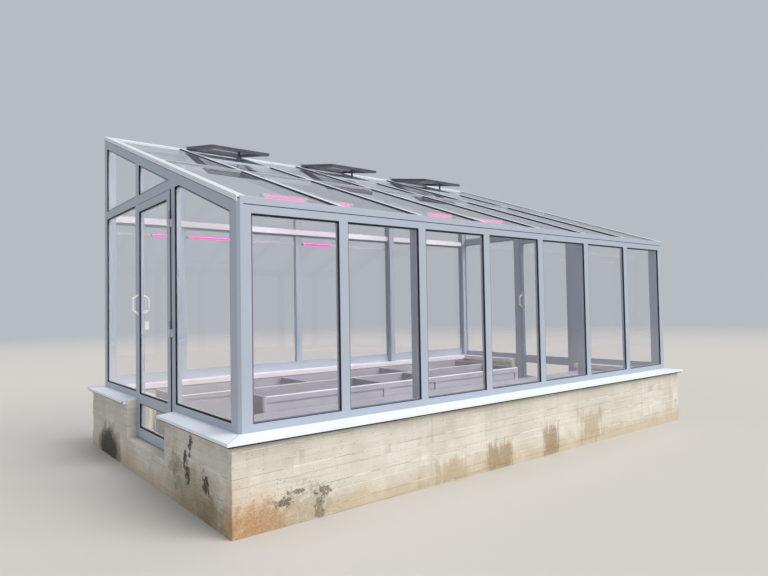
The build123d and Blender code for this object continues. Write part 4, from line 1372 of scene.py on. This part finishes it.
@dataclass
class Studio:
    """Plain floor, soft light and the camera at the photograph's place."""

    eye: Triple = (-4.5662, -5.4510, 1.4673)
    ahead: Triple = (0.62099404, 0.78317225, 0.03174309)
    right: Triple = (0.78378757, -0.6208032, -0.01674585)
    head: Triple = (-0.00659132, -0.03527891, 0.99935577)
    focal_pixels: float = 597.17
    picture_width: float = 768.0
    sensor: float = 36.0
    sight: float = 200.0
    sky: str = "F6F9FF"
    sky_strength: float = 0.62
    sun_colour: str = "FFFBF4"
    sun_strength: float = 2.7
    sun_spread: float = 45.0
    sun_from: Triple = (0.42, -0.78, 0.85)
    backdrop: str = "B6BCC1"
    floor_colour: str = "C6C3BE"
    floor_radius: float = 40.0
    floor_sides: int = 96
    fade: Pair = (12.0, 38.0)

    def camera(self) -> None:
        """Stand the camera where the photograph was taken."""
        data = bpy.data.cameras.new("photo_camera")
        data.sensor_width = self.sensor
        data.lens = self.focal_pixels / self.picture_width * self.sensor
        data.clip_end = self.sight
        camera = bpy.data.objects.new("photo_camera", data)
        turn = Matrix((self.right, self.head, [-part for part in self.ahead])).transposed()
        camera.matrix_world = Matrix.Translation(self.eye) @ turn.to_4x4()
        bpy.context.scene.collection.objects.link(camera)
        bpy.context.scene.camera = camera

    def world(self) -> None:
        """Light everything softly, and show a pale backdrop behind and through the glass."""
        world = bpy.data.worlds.new("studio_world")
        world.use_nodes = True
        nodes = Shading(world.node_tree)
        rays = nodes.add("LightPath").outputs
        seen = rays["Is Camera Ray"]
        for kind in ("Is Glossy Ray", "Is Transmission Ray"):
            seen = nodes.add("Math", {0: seen, 1: rays[kind]}, operation="MAXIMUM")
        light = nodes.add("Background", {"Color": linear(self.sky), "Strength": self.sky_strength})
        shown = nodes.add("Background", {"Color": linear(self.backdrop), "Strength": 1.0})
        mixed = nodes.add("MixShader", {0: seen, 1: light, 2: shown})
        nodes.add("OutputWorld", {"Surface": mixed})
        bpy.context.scene.world = world

    def sun(self) -> None:
        """Add one broad soft lamp from the front right."""
        data = bpy.data.lights.new("soft_sun", "SUN")
        data.energy = self.sun_strength
        data.angle = math.radians(self.sun_spread)
        data.color = linear(self.sun_colour)[:3]
        lamp = bpy.data.objects.new("soft_sun", data)
        lamp.rotation_euler = Vector(self.sun_from).to_track_quat("Z", "Y").to_euler()
        bpy.context.scene.collection.objects.link(lamp)

    def floor(self) -> None:
        """Lay a plain pale floor that fades into the backdrop."""
        mesh = bmesh.new()
        bmesh.ops.create_circle(mesh, cap_ends=True, segments=self.floor_sides, radius=self.floor_radius)
        data = bpy.data.meshes.new("studio_floor")
        mesh.to_mesh(data)
        mesh.free()
        floor = bpy.data.objects.new("studio_floor", data)
        bpy.context.scene.collection.objects.link(floor)
        data.materials.append(PlainFloor("plain_floor", self.floor_colour, self.fade).make())

    def build(self) -> None:
        """Set up the whole studio."""
        self.camera()
        self.world()
        self.sun()
        self.floor()
        bpy.context.scene.view_settings.view_transform = "Standard"


PARTS = (
    SoftEdges, PlinthConcrete, PaneSeals, EavesLine, RoofSeals, SillSealant, SillTapeAndPaintedShadow,
    DoorSeals, HingeFittings, BedHighlightStrips, SwitchRocker, VentHinges, GrowLightDiffusers,
)


def main() -> None:
    """Build the finishes, the pieces and the studio in order."""
    logging.basicConfig(level=logging.INFO, format="%(message)s")
    house = House.measured()
    LOG.info("roof slope %.4f, mullions at %s", house.slope, [round(x, 3) for x in house.mullions])
    palette = Palette()
    palette.dress()
    for part in PARTS:
        part(house, palette).build()
    Studio().build()


if __name__ == "__main__":
    main()
